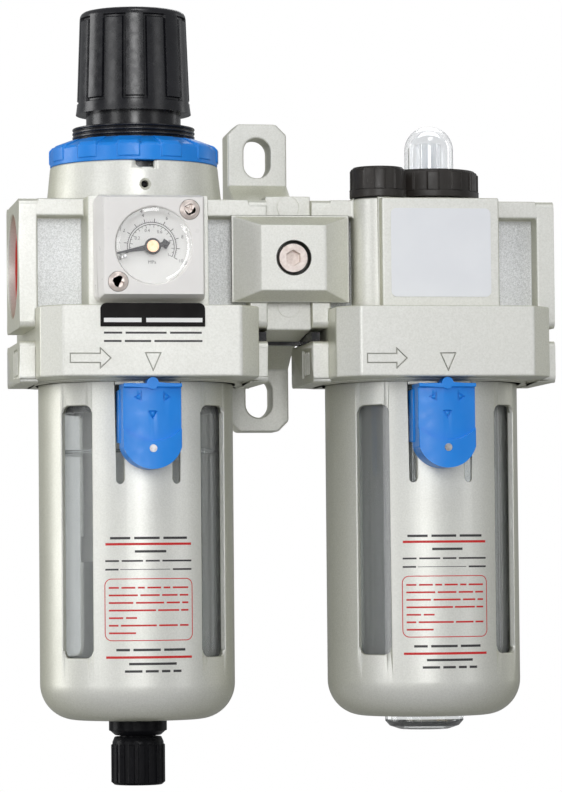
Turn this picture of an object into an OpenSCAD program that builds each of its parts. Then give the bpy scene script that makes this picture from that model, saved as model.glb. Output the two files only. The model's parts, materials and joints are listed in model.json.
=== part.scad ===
// Compressed-air service unit for 1 inch pipe: a filter regulator on the left and an oil-mist
// lubricator on the right, joined by a spacer whose back carries the wall bracket.
// Millimetres. +X runs along the air line towards the outlet, +Y runs back to the wall, +Z is up.
// Origin: centre of the bracket's rear face, level with the middle of both pipe ports.

/* [Layout] */
// Distance between the centre lines of the two units
unit_pitch = 105; // [104.9:0.05:105.2]
// Distance from the wall to the centre line of the ports
wall_distance = 57; // [56.5:0.5:60]

/* [Pipe ports] */
// Radius of the threaded wall of each pipe port
port_radius = 15.15; // [14.5:0.05:15.2]
// Length of the threaded wall of each pipe port
port_length = 18; // [16:0.5:19]

/* [Wall bracket] */
// Distance between the centres of the two bracket slots
slot_spacing = 90; // [88:0.5:92]
// Width of each bracket slot
slot_width = 10; // [8:0.5:11]
// End-to-end length of each bracket slot
slot_length = 15; // [13:0.5:16]
// Thickness of the bracket tabs
tab_thickness = 12.5; // [10:0.5:13]

/* [Bowls] */
// Outer radius of the metal bowl guards
guard_radius = 35; // [34.8:0.05:35.1]
// Height of the bottom face of the bowl guards, measured down from the port centre line
guard_drop = 162.5; // [160:0.5:166]

/* [Knob] */
// Radius of the adjusting knob at its lower edge
knob_radius = 20.8; // [20.4:0.1:21.6]
// Height of the top of the adjusting knob above the port centre line
knob_top = 92.3; // [91:0.1:96]

/* [Hidden] */

$fn = 72;
eps = 0.01;

// Running gap between parts that slide or turn on each other
run_gap = 0.05;
// Gap between fixed parts that are pressed or screwed together
fixed_gap = 0.02;

// ---- casting of one unit ----
unit_half = 44.3;
flange_thick = 6.5;
flange_front = 26;
flange_back = 20;
flange_top = 22.4;
flange_bottom = -23.4;
flange_corner = 2.5;
lug_top = -28;
lug_bottom = -43;
deck_bottom = 16.2;
core_half_depth = 18.5;
band_top = -16.7;
band_bottom = -41.8;
band_half_width = 38.8;
band_half_depth = 48;
band_chamfer_x = 7.4;
band_chamfer_y = 8;
skirt_radius = 38.4;
skirt_bottom = -42.8;
pad_half_width = 21.3;
pad_front = 38;
mouth_radius = 18.65;
mouth_depth = 4.4;
mark_depth = 0.7;
latch_mark_depth = 0.4;
mark_line = 0.45;

// ---- bowl socket inside the casting ----
socket_top = -31;
socket_radius = guard_radius + 0.3;
seal_bore_radius = 32;
seal_bore_top = -21.5;
bayonet_radius = 37.3;
bayonet_top = -33.3;
bayonet_bottom = -37.2;
lug_count = 4;
lug_angle = 24;

// ---- bowls and guards ----
guard_wall = 2.2;
guard_top = -31.4;
guard_corner = 13;
window_angle = 22.4;
// The lubricator stops a little further round in its bayonet
lubricator_window_turn = 3;
window_top = -51;
window_bottom = -140;
bowl_radius = 31.6;
bowl_wall = 3;
bowl_top = -23;
bowl_floor = guard_drop - 3;
bowl_corner = 11;
seal_cord = 1.05;
seal_ring_radius = 30.9;
seal_height = -27;

// ---- latch on the front of each guard ----
latch_half_width = 10.3;
latch_front = 47;
latch_top = -44.1;
latch_bottom = -74;
latch_end_radius = 10.7;
thumb_rest_low = -64.3;
thumb_rest_radius = 14;
latch_pin_height = -66.8;
latch_travel = 5;
latch_step = 1.1;
latch_bump_top = -42;
slit_half_width = 1.4;
slit_x = 10;

// ---- regulator top ----
collar_base_radius = 31.6;
collar_top_radius = 30.2;
collar_top = 36;
cavity_radius = 26.2;
diaphragm_seat = 27;
bonnet_thread_radius = 22.1;
neck_radius = 17.1;
neck_top = 61;
spring_room_radius = 14.2;
ring_top = 45.2;
knob_bottom = 55.2;
knob_push = 3.5;
knob_panel_turn = -4.4;
shaft_radius = 4;
shaft_across = 4.6;
seat_radius = 13.6;
baffle_radius = 20;

// ---- gauge ----
gauge_centre_z = 3.5;
gauge_front = 52.4;
gauge_base_w = 39;
gauge_base_h = 37.6;
gauge_face_w = 34.9;
gauge_face_h = 33.9;
dial_radius = 13.4;
gauge_screw_offset = 12.6;
needle_rest_angle = 10.9;

// ---- joint between the units ----
spacer_half = unit_pitch / 2 - unit_half - 0.1;
spacer_front = 22;
spacer_top = 24;
spacer_drop = 2.8;
spacer_heel = 2;
bracket_half_width = 11.25;
tab_half_height = 57.8;
tab_front = wall_distance - tab_thickness;
clamp_centre_z = 1;
flow_radius = 13;
// the inlet passage is wider, so that the port opens into it without a step inward
inlet_flow_radius = 14.3;

// ---- lubricator top ----
plug_x = -19.8;
plug_y = -23.5;
plug_radius = 10.2;
plug_boss_radius = 9.9;
plug_base = 23.3;
plug_height = 11;
dome_x = 3.2;
dome_y = -3.5;
dome_radius = 8.9;
dome_base = 24.7;
dome_ring_radius = 18.1;
dome_ring_top = 34.8;
oil_tube_y = 17.5;

regulator_body();
bonnet();
bonnet_ring();
adjusting_knob();
adjusting_screw();
spring_seat();
regulating_spring();
diaphragm_plate();
diaphragm();
valve_seat();
valve_poppet();
valve_spring();
valve_guide();
deflector();
filter_element();
element_baffle();
filter_bowl();
filter_bowl_seal();
filter_bowl_guard();
filter_latch();
filter_latch_pin();
drain_body();
drain_plunger();
drain_knob();
gauge_housing();
gauge_dial();
gauge_pointer();
gauge_hub();
gauge_lens();
gauge_screws();
nameplate();
rear_cover();
rear_cover_screws();
inlet_seal_ring();
joint_bracket();
joint_clamp();
clamp_screw();
joint_seals();
joint_retainer();
lubricator_body();
label_plate();
fill_plug();
fill_plug_seal();
sight_dome();
dome_ring();
dome_seal();
drip_needle();
flow_damper();
oil_tube();
oil_strainer();
check_ball();
lubricator_rear_plate();
lubricator_bowl();
lubricator_bowl_seal();
lubricator_bowl_guard();
lubricator_latch();
lubricator_latch_pin();

// ==== placing and drawing helpers ====

// Moves a part drawn round its own unit's centre line to the filter regulator's place.
module at_filter() { translate([-unit_pitch / 2, -wall_distance, 0]) children(); }

// The same for the lubricator.
module at_lubricator() { translate([unit_pitch / 2, -wall_distance, 0]) children(); }

// Parts of the joint are drawn round the middle of the air line.
module at_joint() { translate([0, -wall_distance, 0]) children(); }

// Tube or disc standing on height z0.
module ring_z(r_out, r_in, z0, z1) {
  translate([0, 0, z0]) linear_extrude(z1 - z0) difference() {
    circle(r_out);
    if (r_in > 0) circle(r_in);
  }
}

// Cylinder along Y between two depths; depths grow towards the front.
module rod_y(r, back_depth, front_depth) {
  translate([0, -back_depth, 0]) rotate([90, 0, 0]) cylinder(r = r, h = front_depth - back_depth);
}

// Box given by its two corners.
module box(low, high) {
  translate(low) cube(high - low);
}

// Rectangle with round corners, centred.
module rounded_rect(w, h, r) {
  square([w - 2 * r, h], center = true);
  square([w, h - 2 * r], center = true);
  for (x = [-1, 1], y = [-1, 1])
    translate([x * (w / 2 - r), y * (h / 2 - r)]) circle(r);
}

// Plate facing the front: drawn in X and Z, from one depth in front of the axis to another.
module plate_y(back_depth, front_depth) {
  translate([0, -back_depth, 0]) rotate([90, 0, 0]) linear_extrude(front_depth - back_depth) children();
}

// Corner points of a centred rectangle whose corners are turned in a few straight steps.
function soft_corners(w, h, r, steps) = [
  for (corner = [0 : 3], i = [0 : steps])
    let (
      a = 90 * corner + 90 * i / steps,
      sx = corner == 0 || corner == 3 ? 1 : -1,
      sy = corner < 2 ? 1 : -1
    )
    [sx * (w / 2 - r) + r * cos(a), sy * (h / 2 - r) + r * sin(a)]
];

// Block facing the front whose sides slope in towards its front face.
module sloped_block(back_depth, front_depth, back_w, back_h, front_w, front_h) {
  intersection() {
    translate([0, 0, -back_h]) linear_extrude(2 * back_h) polygon([
      [-back_w / 2, -back_depth], [back_w / 2, -back_depth],
      [front_w / 2, -front_depth], [-front_w / 2, -front_depth]
    ]);
    rotate([90, 0, 90]) translate([0, 0, -back_w]) linear_extrude(2 * back_w) polygon([
      [-back_depth, -back_h / 2], [-front_depth, -front_h / 2],
      [-front_depth, front_h / 2], [-back_depth, back_h / 2]
    ]);
  }
}

// Straight stroke between two points, used for engraved outlines.
module stroke(a, b, w) {
  d = b - a;
  translate(a) rotate(atan2(d[1], d[0])) translate([-w / 2, -w / 2]) square([norm(d) + w, w]);
}

module closed_outline(points, w) {
  for (i = [0 : len(points) - 1]) stroke(points[i], points[(i + 1) % len(points)], w);
}

// Round cord lying in a ring, such as an O-ring.
module cord_ring(ring_radius, cord, z) {
  translate([0, 0, z]) rotate_extrude() translate([ring_radius, 0]) circle(cord, $fn = 24);
}

// Coil spring of round wire between two heights, measured to the outside of the end turns.
module coil_spring(mean_radius, wire, z0, z1, turns) {
  sides = 8;
  steps_per_turn = 20;
  steps = ceil(turns * steps_per_turn);
  rise = z1 - z0 - 2 * wire;
  rings = [for (i = [0 : steps]) let (a = 360 * turns * i / steps)
    for (k = [0 : sides - 1]) let (b = 360 * k / sides, r = mean_radius + wire * cos(b))
      [r * cos(a), r * sin(a), z0 + wire + rise * i / steps + wire * sin(b)]];
  walls = [for (i = [0 : steps - 1], k = [0 : sides - 1])
    let (p = i * sides + k, q = i * sides + (k + 1) % sides)
      [p, p + sides, q + sides, q]];
  first_cap = [[for (k = [0 : sides - 1]) k]];
  last_cap = [[for (k = [sides - 1 : -1 : 0]) steps * sides + k]];
  polyhedron(points = rings, faces = concat(walls, first_cap, last_cap), convexity = 10);
}

// Wedge of a full turn, used to cut or keep part of a ring.
module sector_z(angle, half_angle, radius, z0, z1) {
  reach = radius / cos(half_angle);
  translate([0, 0, z0]) linear_extrude(z1 - z0) rotate(angle) polygon([
    [0, 0],
    [reach * cos(half_angle), -reach * sin(half_angle)],
    [reach * cos(half_angle), reach * sin(half_angle)]
  ]);
}

// ==== casting shared by both units ====

// Side plate of the casting with the pipe mouth; a notch separates it from the lug below.
module end_flange(side) {
  depth = flange_front + flange_back;
  mid_y = (flange_back - flange_front) / 2;
  x0 = side > 0 ? unit_half - flange_thick : -unit_half;
  height = flange_top - flange_bottom;
  translate([x0, mid_y, (flange_top + flange_bottom) / 2]) rotate([90, 0, 90])
    linear_extrude(flange_thick) rounded_rect(depth, height, flange_corner);
  translate([x0, mid_y, (lug_top + lug_bottom) / 2]) rotate([90, 0, 90])
    linear_extrude(flange_thick) rounded_rect(depth, lug_top - lug_bottom, flange_corner);
}

// Plan view of the heavy band that carries the bowl.
module band_plan(inset) {
  w = band_half_width - inset;
  d = band_half_depth - inset;
  cx = band_chamfer_x;
  cy = band_chamfer_y;
  polygon([
    [-w, -d + cy], [-w + cx, -d], [w - cx, -d], [w, -d + cy],
    [w, d - cy], [w - cx, d], [-w + cx, d], [-w, d - cy]
  ]);
}

module casting_outside() {
  for (side = [-1, 1]) end_flange(side);
  web = unit_half - flange_thick + eps;
  box([-web, -core_half_depth, flange_bottom], [web, core_half_depth, flange_top]);
  box([-web, -flange_front, deck_bottom], [web, flange_back, flange_top]);
  translate([0, 0, band_bottom]) linear_extrude(band_top - band_bottom) band_plan(0);
  ring_z(skirt_radius, 0, skirt_bottom, band_bottom + eps);
  // square pads on the front and the back of the casting
  box([-pad_half_width, -pad_front, band_top - eps], [pad_half_width, pad_front - 6, flange_top]);
}

// Opening for the bowl and its guard, with the bayonet groove and four entries for the guard's lugs.
module socket_cut() {
  ring_z(socket_radius, 0, skirt_bottom - 1, socket_top);
  ring_z(seal_bore_radius, 0, socket_top - 1, seal_bore_top);
  ring_z(bayonet_radius, 0, bayonet_bottom, bayonet_top);
  for (i = [0 : lug_count - 1]) intersection() {
    ring_z(bayonet_radius, 0, skirt_bottom - 1, bayonet_bottom + eps);
    sector_z(45 + 90 * i, lug_angle / 2 + 3, 50, skirt_bottom - 2, bayonet_top);
  }
}

// Pipe port: shallow mouth, threaded wall, then the flow passage.
module port_cut(side, passage_radius, passage_end) {
  rotate([0, side * 90, 0]) {
    translate([0, 0, unit_half - mouth_depth]) cylinder(r = mouth_radius, h = mouth_depth + 1);
    translate([0, 0, unit_half - mouth_depth - port_length])
      cylinder(r = port_radius, h = port_length + 1);
    translate([0, 0, passage_end]) cylinder(r = passage_radius, h = unit_half - passage_end - 5);
  }
}

// Flow arrow and lock mark engraved in the front of the band.
module band_marks() {
  arrow_z = -35.4;
  arrow = [[-29, -1.6], [-18.5, -1.6], [-18.5, -3.5], [-14.8, 0], [-18.5, 3.5], [-18.5, 1.6], [-29, 1.6]];
  mark = [[-2.7, -33.6], [2.7, -33.6], [0, -39.7]];
  plate_y(band_half_depth - mark_depth, band_half_depth + 1) {
    translate([0, arrow_z]) closed_outline(arrow, mark_line);
    closed_outline(mark, mark_line);
  }
}

// Recessed size panel with three ribs on the outer face of each lug.
module lug_panel_cut() {
  for (side = [-1, 1]) {
    x0 = side > 0 ? unit_half - 0.6 : -unit_half - 1;
    difference() {
      box([x0, -18, -40.5], [x0 + 1.6, -3, -30.5]);
      for (i = [0 : 2]) box([x0 - 1, -15.5 + 4 * i, -39.5], [x0 + 3, -13.7 + 4 * i, -31.5]);
    }
  }
}

module common_cuts() {
  socket_cut();
  band_marks();
  lug_panel_cut();
}

// ==== filter regulator ====

module regulator_body() color("gainsboro") at_filter() difference() {
  union() {
    casting_outside();
    translate([0, 0, flange_top - eps])
      cylinder(r1 = collar_base_radius, r2 = collar_top_radius, h = collar_top - flange_top + eps);
  }
  common_cuts();
  port_cut(-1, inlet_flow_radius, 14);
  port_cut(1, 10, 0);
  // drop from the inlet passage into the bowl, outside the deflector
  translate([-22, 0, seal_bore_top - 1]) cylinder(r = 6, h = 22);
  // central bore for the valve and the chamber above it
  ring_z(9, 0, seal_bore_top - 1, -1);
  ring_z(5.2, 0, -1.5, 1);
  ring_z(12, 0, 0, 14);
  ring_z(1.6, 0, 13, 21);
  // sensing hole from the outlet side to the diaphragm
  translate([7, 0, 8]) cylinder(r = 1, h = 13);
  // diaphragm chamber, seat and the room for the bonnet
  ring_z(22, 0, 20, diaphragm_seat + eps);
  ring_z(cavity_radius, 0, diaphragm_seat, collar_top + 1);
  // assembly notch and vent hole at the front of the collar
  box([-3.3, -40, 33.5], [3.3, -cavity_radius + 2, collar_top + 1]);
  translate([0, 0, 27.3]) {
    rod_y(1.3, 20, 40);
    translate([0, -collar_base_radius - 0.6, 0]) rotate([-90, 0, 0]) cylinder(r1 = 3, r2 = 1.3, h = 2.2);
  }
  // gauge port in the front pad and a plain pocket in the rear pad
  translate([0, 0, gauge_centre_z]) rod_y(4.1, 6, 40);
  translate([0, pad_front - 5, gauge_centre_z]) rotate([90, 0, 0]) cylinder(r = 4.1, h = 12);
  for (s = [-1, 1]) translate([s * gauge_screw_offset, 0, gauge_centre_z + s * gauge_screw_offset]) {
    rod_y(1.5, pad_front - 8, pad_front + 1);
    translate([0, pad_front - 5, 0]) rotate([90, 0, 0]) cylinder(r = 1.5, h = 8);
  }
}

// Plastic spring housing; its flange clamps the diaphragm.
module bonnet() color([0.12, 0.12, 0.13]) at_filter() difference() {
  union() {
    ring_z(cavity_radius - 0.2, 0, 28.3, collar_top);
    ring_z(bonnet_thread_radius, 0, collar_top - eps, 50);
    ring_z(neck_radius, 0, 50 - eps, neck_top);
  }
  ring_z(spring_room_radius, 0, 28, 58);
  ring_z(5.1, 0, 57, neck_top + 1);
  // guide grooves for the ears of the spring seat
  box([-15.7, -1.6, 40], [15.7, 1.6, 58]);
  // panel thread drawn as ring grooves
  for (i = [0 : 2]) translate([0, 0, 46 + 1.5 * i]) rotate_extrude()
    polygon([[bonnet_thread_radius + 0.5, -0.75], [bonnet_thread_radius - 0.7, 0], [bonnet_thread_radius + 0.5, 0.75]]);
}

// Plastic ring screwed down on the collar; grip pads stand on its sloping rim.
module bonnet_ring() color([0.1, 0.35, 0.8]) at_filter() difference() {
  union() {
    rotate_extrude() polygon([
      [20, collar_top], [30.2, collar_top], [30.2, 41.4], [29.4, 42.4], [bonnet_thread_radius + 1.2, ring_top], [20, ring_top]
    ]);
    for (i = [0 : 11]) rotate(-101 + 30 * i) intersection() {
      rotate_extrude() polygon([[24, 37.4], [30.6, 37.4], [30.6, 41.9], [29.5, 43.1], [24, 45.2]]);
      box([20, -4, 36], [32, 4, 46]);
    }
  }
  ring_z(bonnet_thread_radius + fixed_gap, 0, collar_top - 1, ring_top + 1);
}

module adjusting_knob() color([0.1, 0.1, 0.11]) at_filter() difference() {
  rotate_extrude() polygon([
    [0, knob_bottom], [knob_radius, knob_bottom], [knob_radius - 0.4, knob_bottom + 3],
    [knob_radius - 1.7, knob_top - 3.3], [knob_radius - 3.3, knob_top], [0, knob_top]
  ]);
  // room for the neck of the bonnet when the knob is pushed down
  ring_z(neck_radius + 0.3, 0, knob_bottom - 1, neck_top + knob_push + 0.4);
  // square drive on the adjusting screw
  drive = shaft_across + run_gap;
  box([-drive, -drive, 60], [drive, drive, 84]);
  // eight shallow grip panels
  for (i = [0 : 7]) rotate(45 * i + knob_panel_turn) {
    box([knob_radius - 1.6, -3.9, knob_bottom + 3.4], [knob_radius + 2, 3.9, knob_top - 22]);
    box([knob_radius - 2.1, -3.9, knob_top - 22 - eps], [knob_radius + 2, 3.9, knob_top - 3.6]);
  }
}

module adjusting_screw() color("silver") at_filter() {
  ring_z(shaft_radius, 0, 42, 56);
  ring_z(8.5, 0, 56 - eps, 57.9);
  ring_z(5.05, 0, 57.9 - eps, neck_top + 0.2);
  box([-shaft_across, -shaft_across, neck_top], [shaft_across, shaft_across, 80]);
}

module spring_seat() color("goldenrod") at_filter() difference() {
  union() {
    ring_z(seat_radius, 0, 51.5, 55);
    ring_z(9, 0, 48, 51.5 + eps);
    box([-15.4, -1.4, 51.5], [15.4, 1.4, 55]);
  }
  ring_z(shaft_radius + run_gap, 0, 47, 56);
}

module regulating_spring() color("silver") at_filter() coil_spring(11.4, 1.2, 30.6, 51.4, 5.5);

module diaphragm_plate() color("goldenrod") at_filter() difference() {
  union() {
    ring_z(13, 0, 28.25, 30.5);
    ring_z(9.5, 0, 30.5 - eps, 33);
  }
  ring_z(1.2, 0, 28, 34);
}

module diaphragm() color([0.2, 0.2, 0.2]) at_filter() ring_z(cavity_radius - 0.2, 0, diaphragm_seat + fixed_gap, 28.2);

module valve_seat() color("goldenrod") at_filter() ring_z(9 - fixed_gap, 5, -4, -1 - fixed_gap);

module valve_poppet() color("goldenrod") at_filter() {
  ring_z(6.2, 0, -6.5, -4.05);
  ring_z(1.5, 0, -4.1, diaphragm_seat - 0.05);
  ring_z(3, 0, -9.5, -6.4);
}

module valve_spring() color("silver") at_filter() coil_spring(4.4, 0.5, -18.8, -6.6, 6);

// Cup that closes the valve bore, guides the spring and carries the filter below it.
module valve_guide() color([0.85, 0.85, 0.82]) at_filter() difference() {
  union() {
    ring_z(9 - fixed_gap, 0, -21.6, -8);
    ring_z(14, 0, -26, -21.6);
    ring_z(9, 0, -44, -26 + eps);
  }
  ring_z(6.6, 0, -19, -7);
  ring_z(3.1, 0, -45, -32);
  for (i = [0 : 5]) rotate(60 * i) translate([5.6, 0, -45]) cylinder(r = 1.6, h = 30);
}

// Vaned plate that spins the incoming air.
module deflector() color([0.1, 0.1, 0.1]) at_filter() difference() {
  union() {
    ring_z(25, 0, -47.5, -44);
    ring_z(27.6, 24.5, -53, -44);
  }
  ring_z(8.4, 0, -48, -43);
  for (i = [0 : 11]) rotate(30 * i) box([20, -1.2, -54], [30, 1.2, -45.5]);
}

module filter_element() color([0.93, 0.92, 0.88]) at_filter() ring_z(19, 12.5, -97, -47.6);

// Lower cap of the filter element with its centre stud and quiet-zone skirt.
module element_baffle() color([0.93, 0.92, 0.88]) at_filter() {
  ring_z(baffle_radius, 0, -100, -97.05);
  ring_z(baffle_radius, baffle_radius - 2.5, -106, -100 + eps);
  ring_z(3, 0, -97.2, -33);
}

// ==== bowls, guards and latches, used by both units ====

// Clear bowl: neck with a seal groove at the top, wall with a round lower edge, open centre boss.
module clear_bowl(floor_hole) {
  outer = bowl_radius;
  inner = bowl_radius - bowl_wall;
  difference() {
    rotate_extrude() difference() {
      union() {
        translate([0, -bowl_floor + bowl_corner]) square([outer, bowl_top + bowl_floor - bowl_corner]);
        translate([0, -bowl_floor]) square([outer - bowl_corner, bowl_corner + eps]);
        translate([outer - bowl_corner, -bowl_floor + bowl_corner]) intersection() {
          circle(bowl_corner);
          translate([0, -bowl_corner]) square(bowl_corner);
        }
      }
      translate([0, -bowl_floor + bowl_corner]) square([inner, 200]);
      translate([0, -bowl_floor + bowl_wall]) square([inner - bowl_corner + bowl_wall, bowl_corner]);
      translate([outer - bowl_corner, -bowl_floor + bowl_corner]) intersection() {
        circle(bowl_corner - bowl_wall);
        translate([0, -bowl_corner]) square(bowl_corner);
      }
      translate([outer - 1.8, seal_height - 1.15]) square([3, 2.3]);
    }
    if (floor_hole > 0) ring_z(floor_hole, 0, -bowl_floor - 1, -bowl_floor + bowl_wall + 1);
  }
}

module bowl_seal() cord_ring(seal_ring_radius, seal_cord, seal_height);

// Rounded slot along Z through the wall of the guard at one angle.
module guard_window(angle) {
  width = 2 * guard_radius * sin(window_angle / 2);
  height = window_top - window_bottom;
  rotate(angle) translate([guard_radius - 8, 0, (window_top + window_bottom) / 2])
    rotate([90, 0, 90]) linear_extrude(12) polygon(soft_corners(width, height, 2.6, 4));
}

// Pressed metal guard with four windows, bayonet lugs and two slits for the latch.
module bowl_guard(floor_hole, window_turn) {
  inner = guard_radius - guard_wall;
  difference() {
    union() {
      rotate_extrude() difference() {
        union() {
          translate([0, -guard_drop + guard_corner]) square([guard_radius, guard_top + guard_drop - guard_corner]);
          translate([0, -guard_drop]) square([guard_radius - guard_corner, guard_corner + eps]);
          translate([guard_radius - guard_corner, -guard_drop + guard_corner]) intersection() {
            circle(guard_corner);
            translate([0, -guard_corner]) square(guard_corner);
          }
        }
        translate([0, -guard_drop + guard_corner]) square([inner, 200]);
        translate([0, -guard_drop + guard_wall]) square([guard_radius - guard_corner, guard_corner]);
        translate([guard_radius - guard_corner, -guard_drop + guard_corner]) intersection() {
          circle(guard_corner - guard_wall);
          translate([0, -guard_corner]) square(guard_corner);
        }
      }
      // bayonet lugs
      for (i = [0 : lug_count - 1]) intersection() {
        ring_z(bayonet_radius - 0.3, guard_radius - guard_wall / 2, bayonet_bottom + 0.3, bayonet_top - 0.3);
        sector_z(90 * i, lug_angle / 2, 50, bayonet_bottom, bayonet_top);
      }
    }
    for (a = [45, 135, 225, 315]) guard_window(a + window_turn);
    for (s = [-1, 1]) translate([s * slit_x, 0, 0]) plate_y(20, guard_radius + 1) {
      translate([-slit_half_width, -77.5]) square([2 * slit_half_width, 33.5]);
      translate([0, -77.5]) circle(slit_half_width);
    }
    ring_z(floor_hole, 0, -guard_drop - 1, -guard_drop + guard_wall + 1);
  }
}

// Front view of the latch: straight sides and a round lower end.
module latch_face() {
  translate([0, latch_bottom + latch_end_radius]) circle(latch_end_radius);
  translate([-latch_half_width, latch_bottom + latch_end_radius])
    square([2 * latch_half_width, latch_top - latch_bottom - latch_end_radius]);
}

// Block for the latch, kept between its two sides and inside one radius round the bowl.
module latch_block(radius) {
  intersection() {
    plate_y(34, 50) children();
    box([-latch_half_width, -50, latch_bottom - 1], [latch_half_width, -30, latch_top]);
    ring_z(radius, 0, latch_bottom - 1, latch_top);
  }
}

// Locking button that slides down the front of the guard on two hooked legs.
module bowl_latch() {
  leg_out = slit_x + 0.9;
  low = latch_bottom - 1;
  difference() {
    union() {
      latch_block(latch_front - latch_step) latch_face();
      // swollen thumb rest at the bottom
      latch_block(latch_front) difference() {
        latch_face();
        translate([0, thumb_rest_low + thumb_rest_radius]) circle(thumb_rest_radius);
        translate([-latch_half_width - 1, thumb_rest_low + 9]) square([2 * latch_half_width + 2, 20]);
      }
      // ledge along the top and the bump that locks under the band
      box([-latch_half_width, -latch_front, latch_top - 1.4], [latch_half_width, -40, latch_top]);
      translate([0, 0, latch_top]) rod_y(latch_bump_top - latch_top, 40, latch_front);
      for (s = [-1, 1]) latch_leg(s, leg_out);
    }
    ring_z(guard_radius + 0.12, 0, low, latch_leg_low());
    difference() {
      ring_z(guard_radius + 0.12, 0, latch_leg_low(), -40);
      for (s = [-1, 1]) latch_leg(s, leg_out);
    }
    ring_z(bowl_radius + 0.25, 0, low, -40);
    // engraved unlock marks, equally deep all the way round
    difference() {
      plate_y(44, latch_front + 1) {
        for (s = [-1, 1]) closed_outline([[s * 6.2, -48.9], [s * 4, -47.5], [s * 4, -50.3]], mark_line);
        closed_outline([[-1.4, -54], [1.4, -54], [0, -56.3]], mark_line);
      }
      ring_z(latch_front - latch_step - latch_mark_depth, 0, -60, -40);
    }
    translate([0, 0, latch_pin_height]) rod_y(1.35, 42, 60);
  }
}

function latch_leg_low() = -64.5;

// Leg that runs in a slit of the guard, with a hook behind the guard's wall.
module latch_leg(s, leg_out) {
  leg_in = slit_x - 0.9;
  low = latch_leg_low();
  box([s > 0 ? leg_in : -leg_out, -38, low], [s > 0 ? leg_out : -leg_in, -29.5, -46]);
}

module latch_pin() translate([0, 0, latch_pin_height]) rod_y(1.33, 42.1, latch_front + 0.15);

module filter_bowl() color([0.75, 0.78, 0.8, 0.5]) at_filter() clear_bowl(6.6);
module filter_bowl_seal() color([0.1, 0.1, 0.1]) at_filter() bowl_seal();
module filter_bowl_guard() color("silver") at_filter() bowl_guard(11.2, 0);
module filter_latch() color([0.1, 0.35, 0.8]) at_filter() bowl_latch();
module filter_latch_pin() color("silver") at_filter() latch_pin();

// ==== drain ====

module drain_body() color([0.1, 0.1, 0.11]) at_filter() difference() {
  union() {
    ring_z(10.4, 0, -166.6, -guard_drop - 0.05);
    translate([0, 0, -168.2]) cylinder(r1 = 8.2, r2 = 10, h = 1.6 + eps);
    ring_z(6.4, 0, -184, -148);
    ring_z(9.5, 0, -156.4, -151);
    ring_z(10.8, 0, -guard_drop - eps, -160.3);
  }
  ring_z(2.6, 0, -185, -147);
  ring_z(4, 0, -157, -147);
}

module drain_plunger() color("silver") at_filter() difference() {
  union() {
    ring_z(3.9, 0, -156.5, -153);
    ring_z(2.5, 0, -184.5, -156.4);
  }
  ring_z(1, 0, -185, -158);
  translate([-5, 0, -160]) rotate([0, 90, 0]) cylinder(r = 0.8, h = 10);
}

module drain_knob() color([0.1, 0.1, 0.11]) at_filter() difference() {
  union() {
    rotate_extrude() polygon([
      [0, -185.9], [8.6, -185.9], [9.2, -185.2], [9.2, -170.6], [8.4, -168.7], [0, -168.7]
    ]);
    for (i = [0 : 15]) rotate(22.5 * i) box([8.4, -1.1, -185.1], [9.65, 1.1, -171.5]);
  }
  ring_z(6.45, 0, -184.4, -168);
  ring_z(2.55, 0, -187, -184);
}

// ==== pressure gauge ====

module gauge_housing() color("whitesmoke") at_filter() translate([0, 0, gauge_centre_z]) difference() {
  union() {
    plate_y(pad_front + fixed_gap, 41) rounded_rect(gauge_base_w, gauge_base_h, 3);
    intersection() {
      sloped_block(41 - eps, gauge_front, gauge_base_w, gauge_base_h, gauge_face_w, gauge_face_h);
      plate_y(40, gauge_front + 1) rounded_rect(gauge_base_w, gauge_base_h, 3);
    }
    rod_y(4, 34, 39);
  }
  rod_y(dial_radius + 0.1, 45.5, 60);
  rod_y(1.2, 20, 46);
  for (s = [-1, 1]) translate([s * gauge_screw_offset, 0, s * gauge_screw_offset]) {
    rod_y(1.55, 30, 60);
    rod_y(3.6, gauge_front - 1, 60);
  }
}

module gauge_dial() color("white") at_filter() translate([0, 0, gauge_centre_z]) difference() {
  rod_y(dial_radius, 45.55, 46.3);
  rod_y(1.2, 45, 47);
}

// Needle at its zero stop, with its short arrow-shaped tail.
module gauge_pointer() color("black") at_filter() translate([0, 0, gauge_centre_z]) rotate([0, -needle_rest_angle, 0])
  plate_y(48, 48.6) difference() {
    union() {
      circle(2.9);
      polygon([[-12.2, 0.25], [-12.2, -0.25], [-2, -1], [-2, 1]]);
      polygon([[2, 0.7], [3.6, 0.9], [4.4, 1.9], [6.3, 0], [4.4, -1.9], [3.6, -0.9], [2, -0.7]]);
    }
    circle(0.9);
  }

module gauge_hub() color("goldenrod") at_filter() translate([0, 0, gauge_centre_z]) {
  rod_y(2.1, 48.65, 49.3);
  rod_y(0.85, 40, 48.7);
}

module gauge_lens() color([0.9, 0.95, 1, 0.35]) at_filter() translate([0, 0, gauge_centre_z]) {
  rod_y(dial_radius, 51, 52.6);
  translate([0, -52.6 + eps, 0]) rotate([90, 0, 0]) cylinder(r1 = dial_radius - 0.2, r2 = dial_radius - 1.4, h = 0.6);
}

// Pan-head screw along Y with a cross recess; the shank ends at the given depth.
module pan_screw(seat_depth, shank_depth) {
  difference() {
    union() {
      rod_y(3.35, seat_depth, seat_depth + 1);
      translate([0, -seat_depth - 1 + eps, 0]) rotate([90, 0, 0]) cylinder(r1 = 3.35, r2 = 2.2, h = 0.9);
      rod_y(1.4, shank_depth, seat_depth + 0.5);
    }
    for (a = [0, 90]) translate([0, -seat_depth, 0]) rotate([0, a + 20, 0]) box([-1.9, -3, -0.35], [1.9, -0.7, 0.35]);
  }
}

module gauge_screws() color([0.8, 0.72, 0.66]) at_filter() for (s = [-1, 1])
  translate([s * gauge_screw_offset, 0, gauge_centre_z + s * gauge_screw_offset]) pan_screw(gauge_front - 1 + fixed_gap, pad_front - 7);

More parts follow.
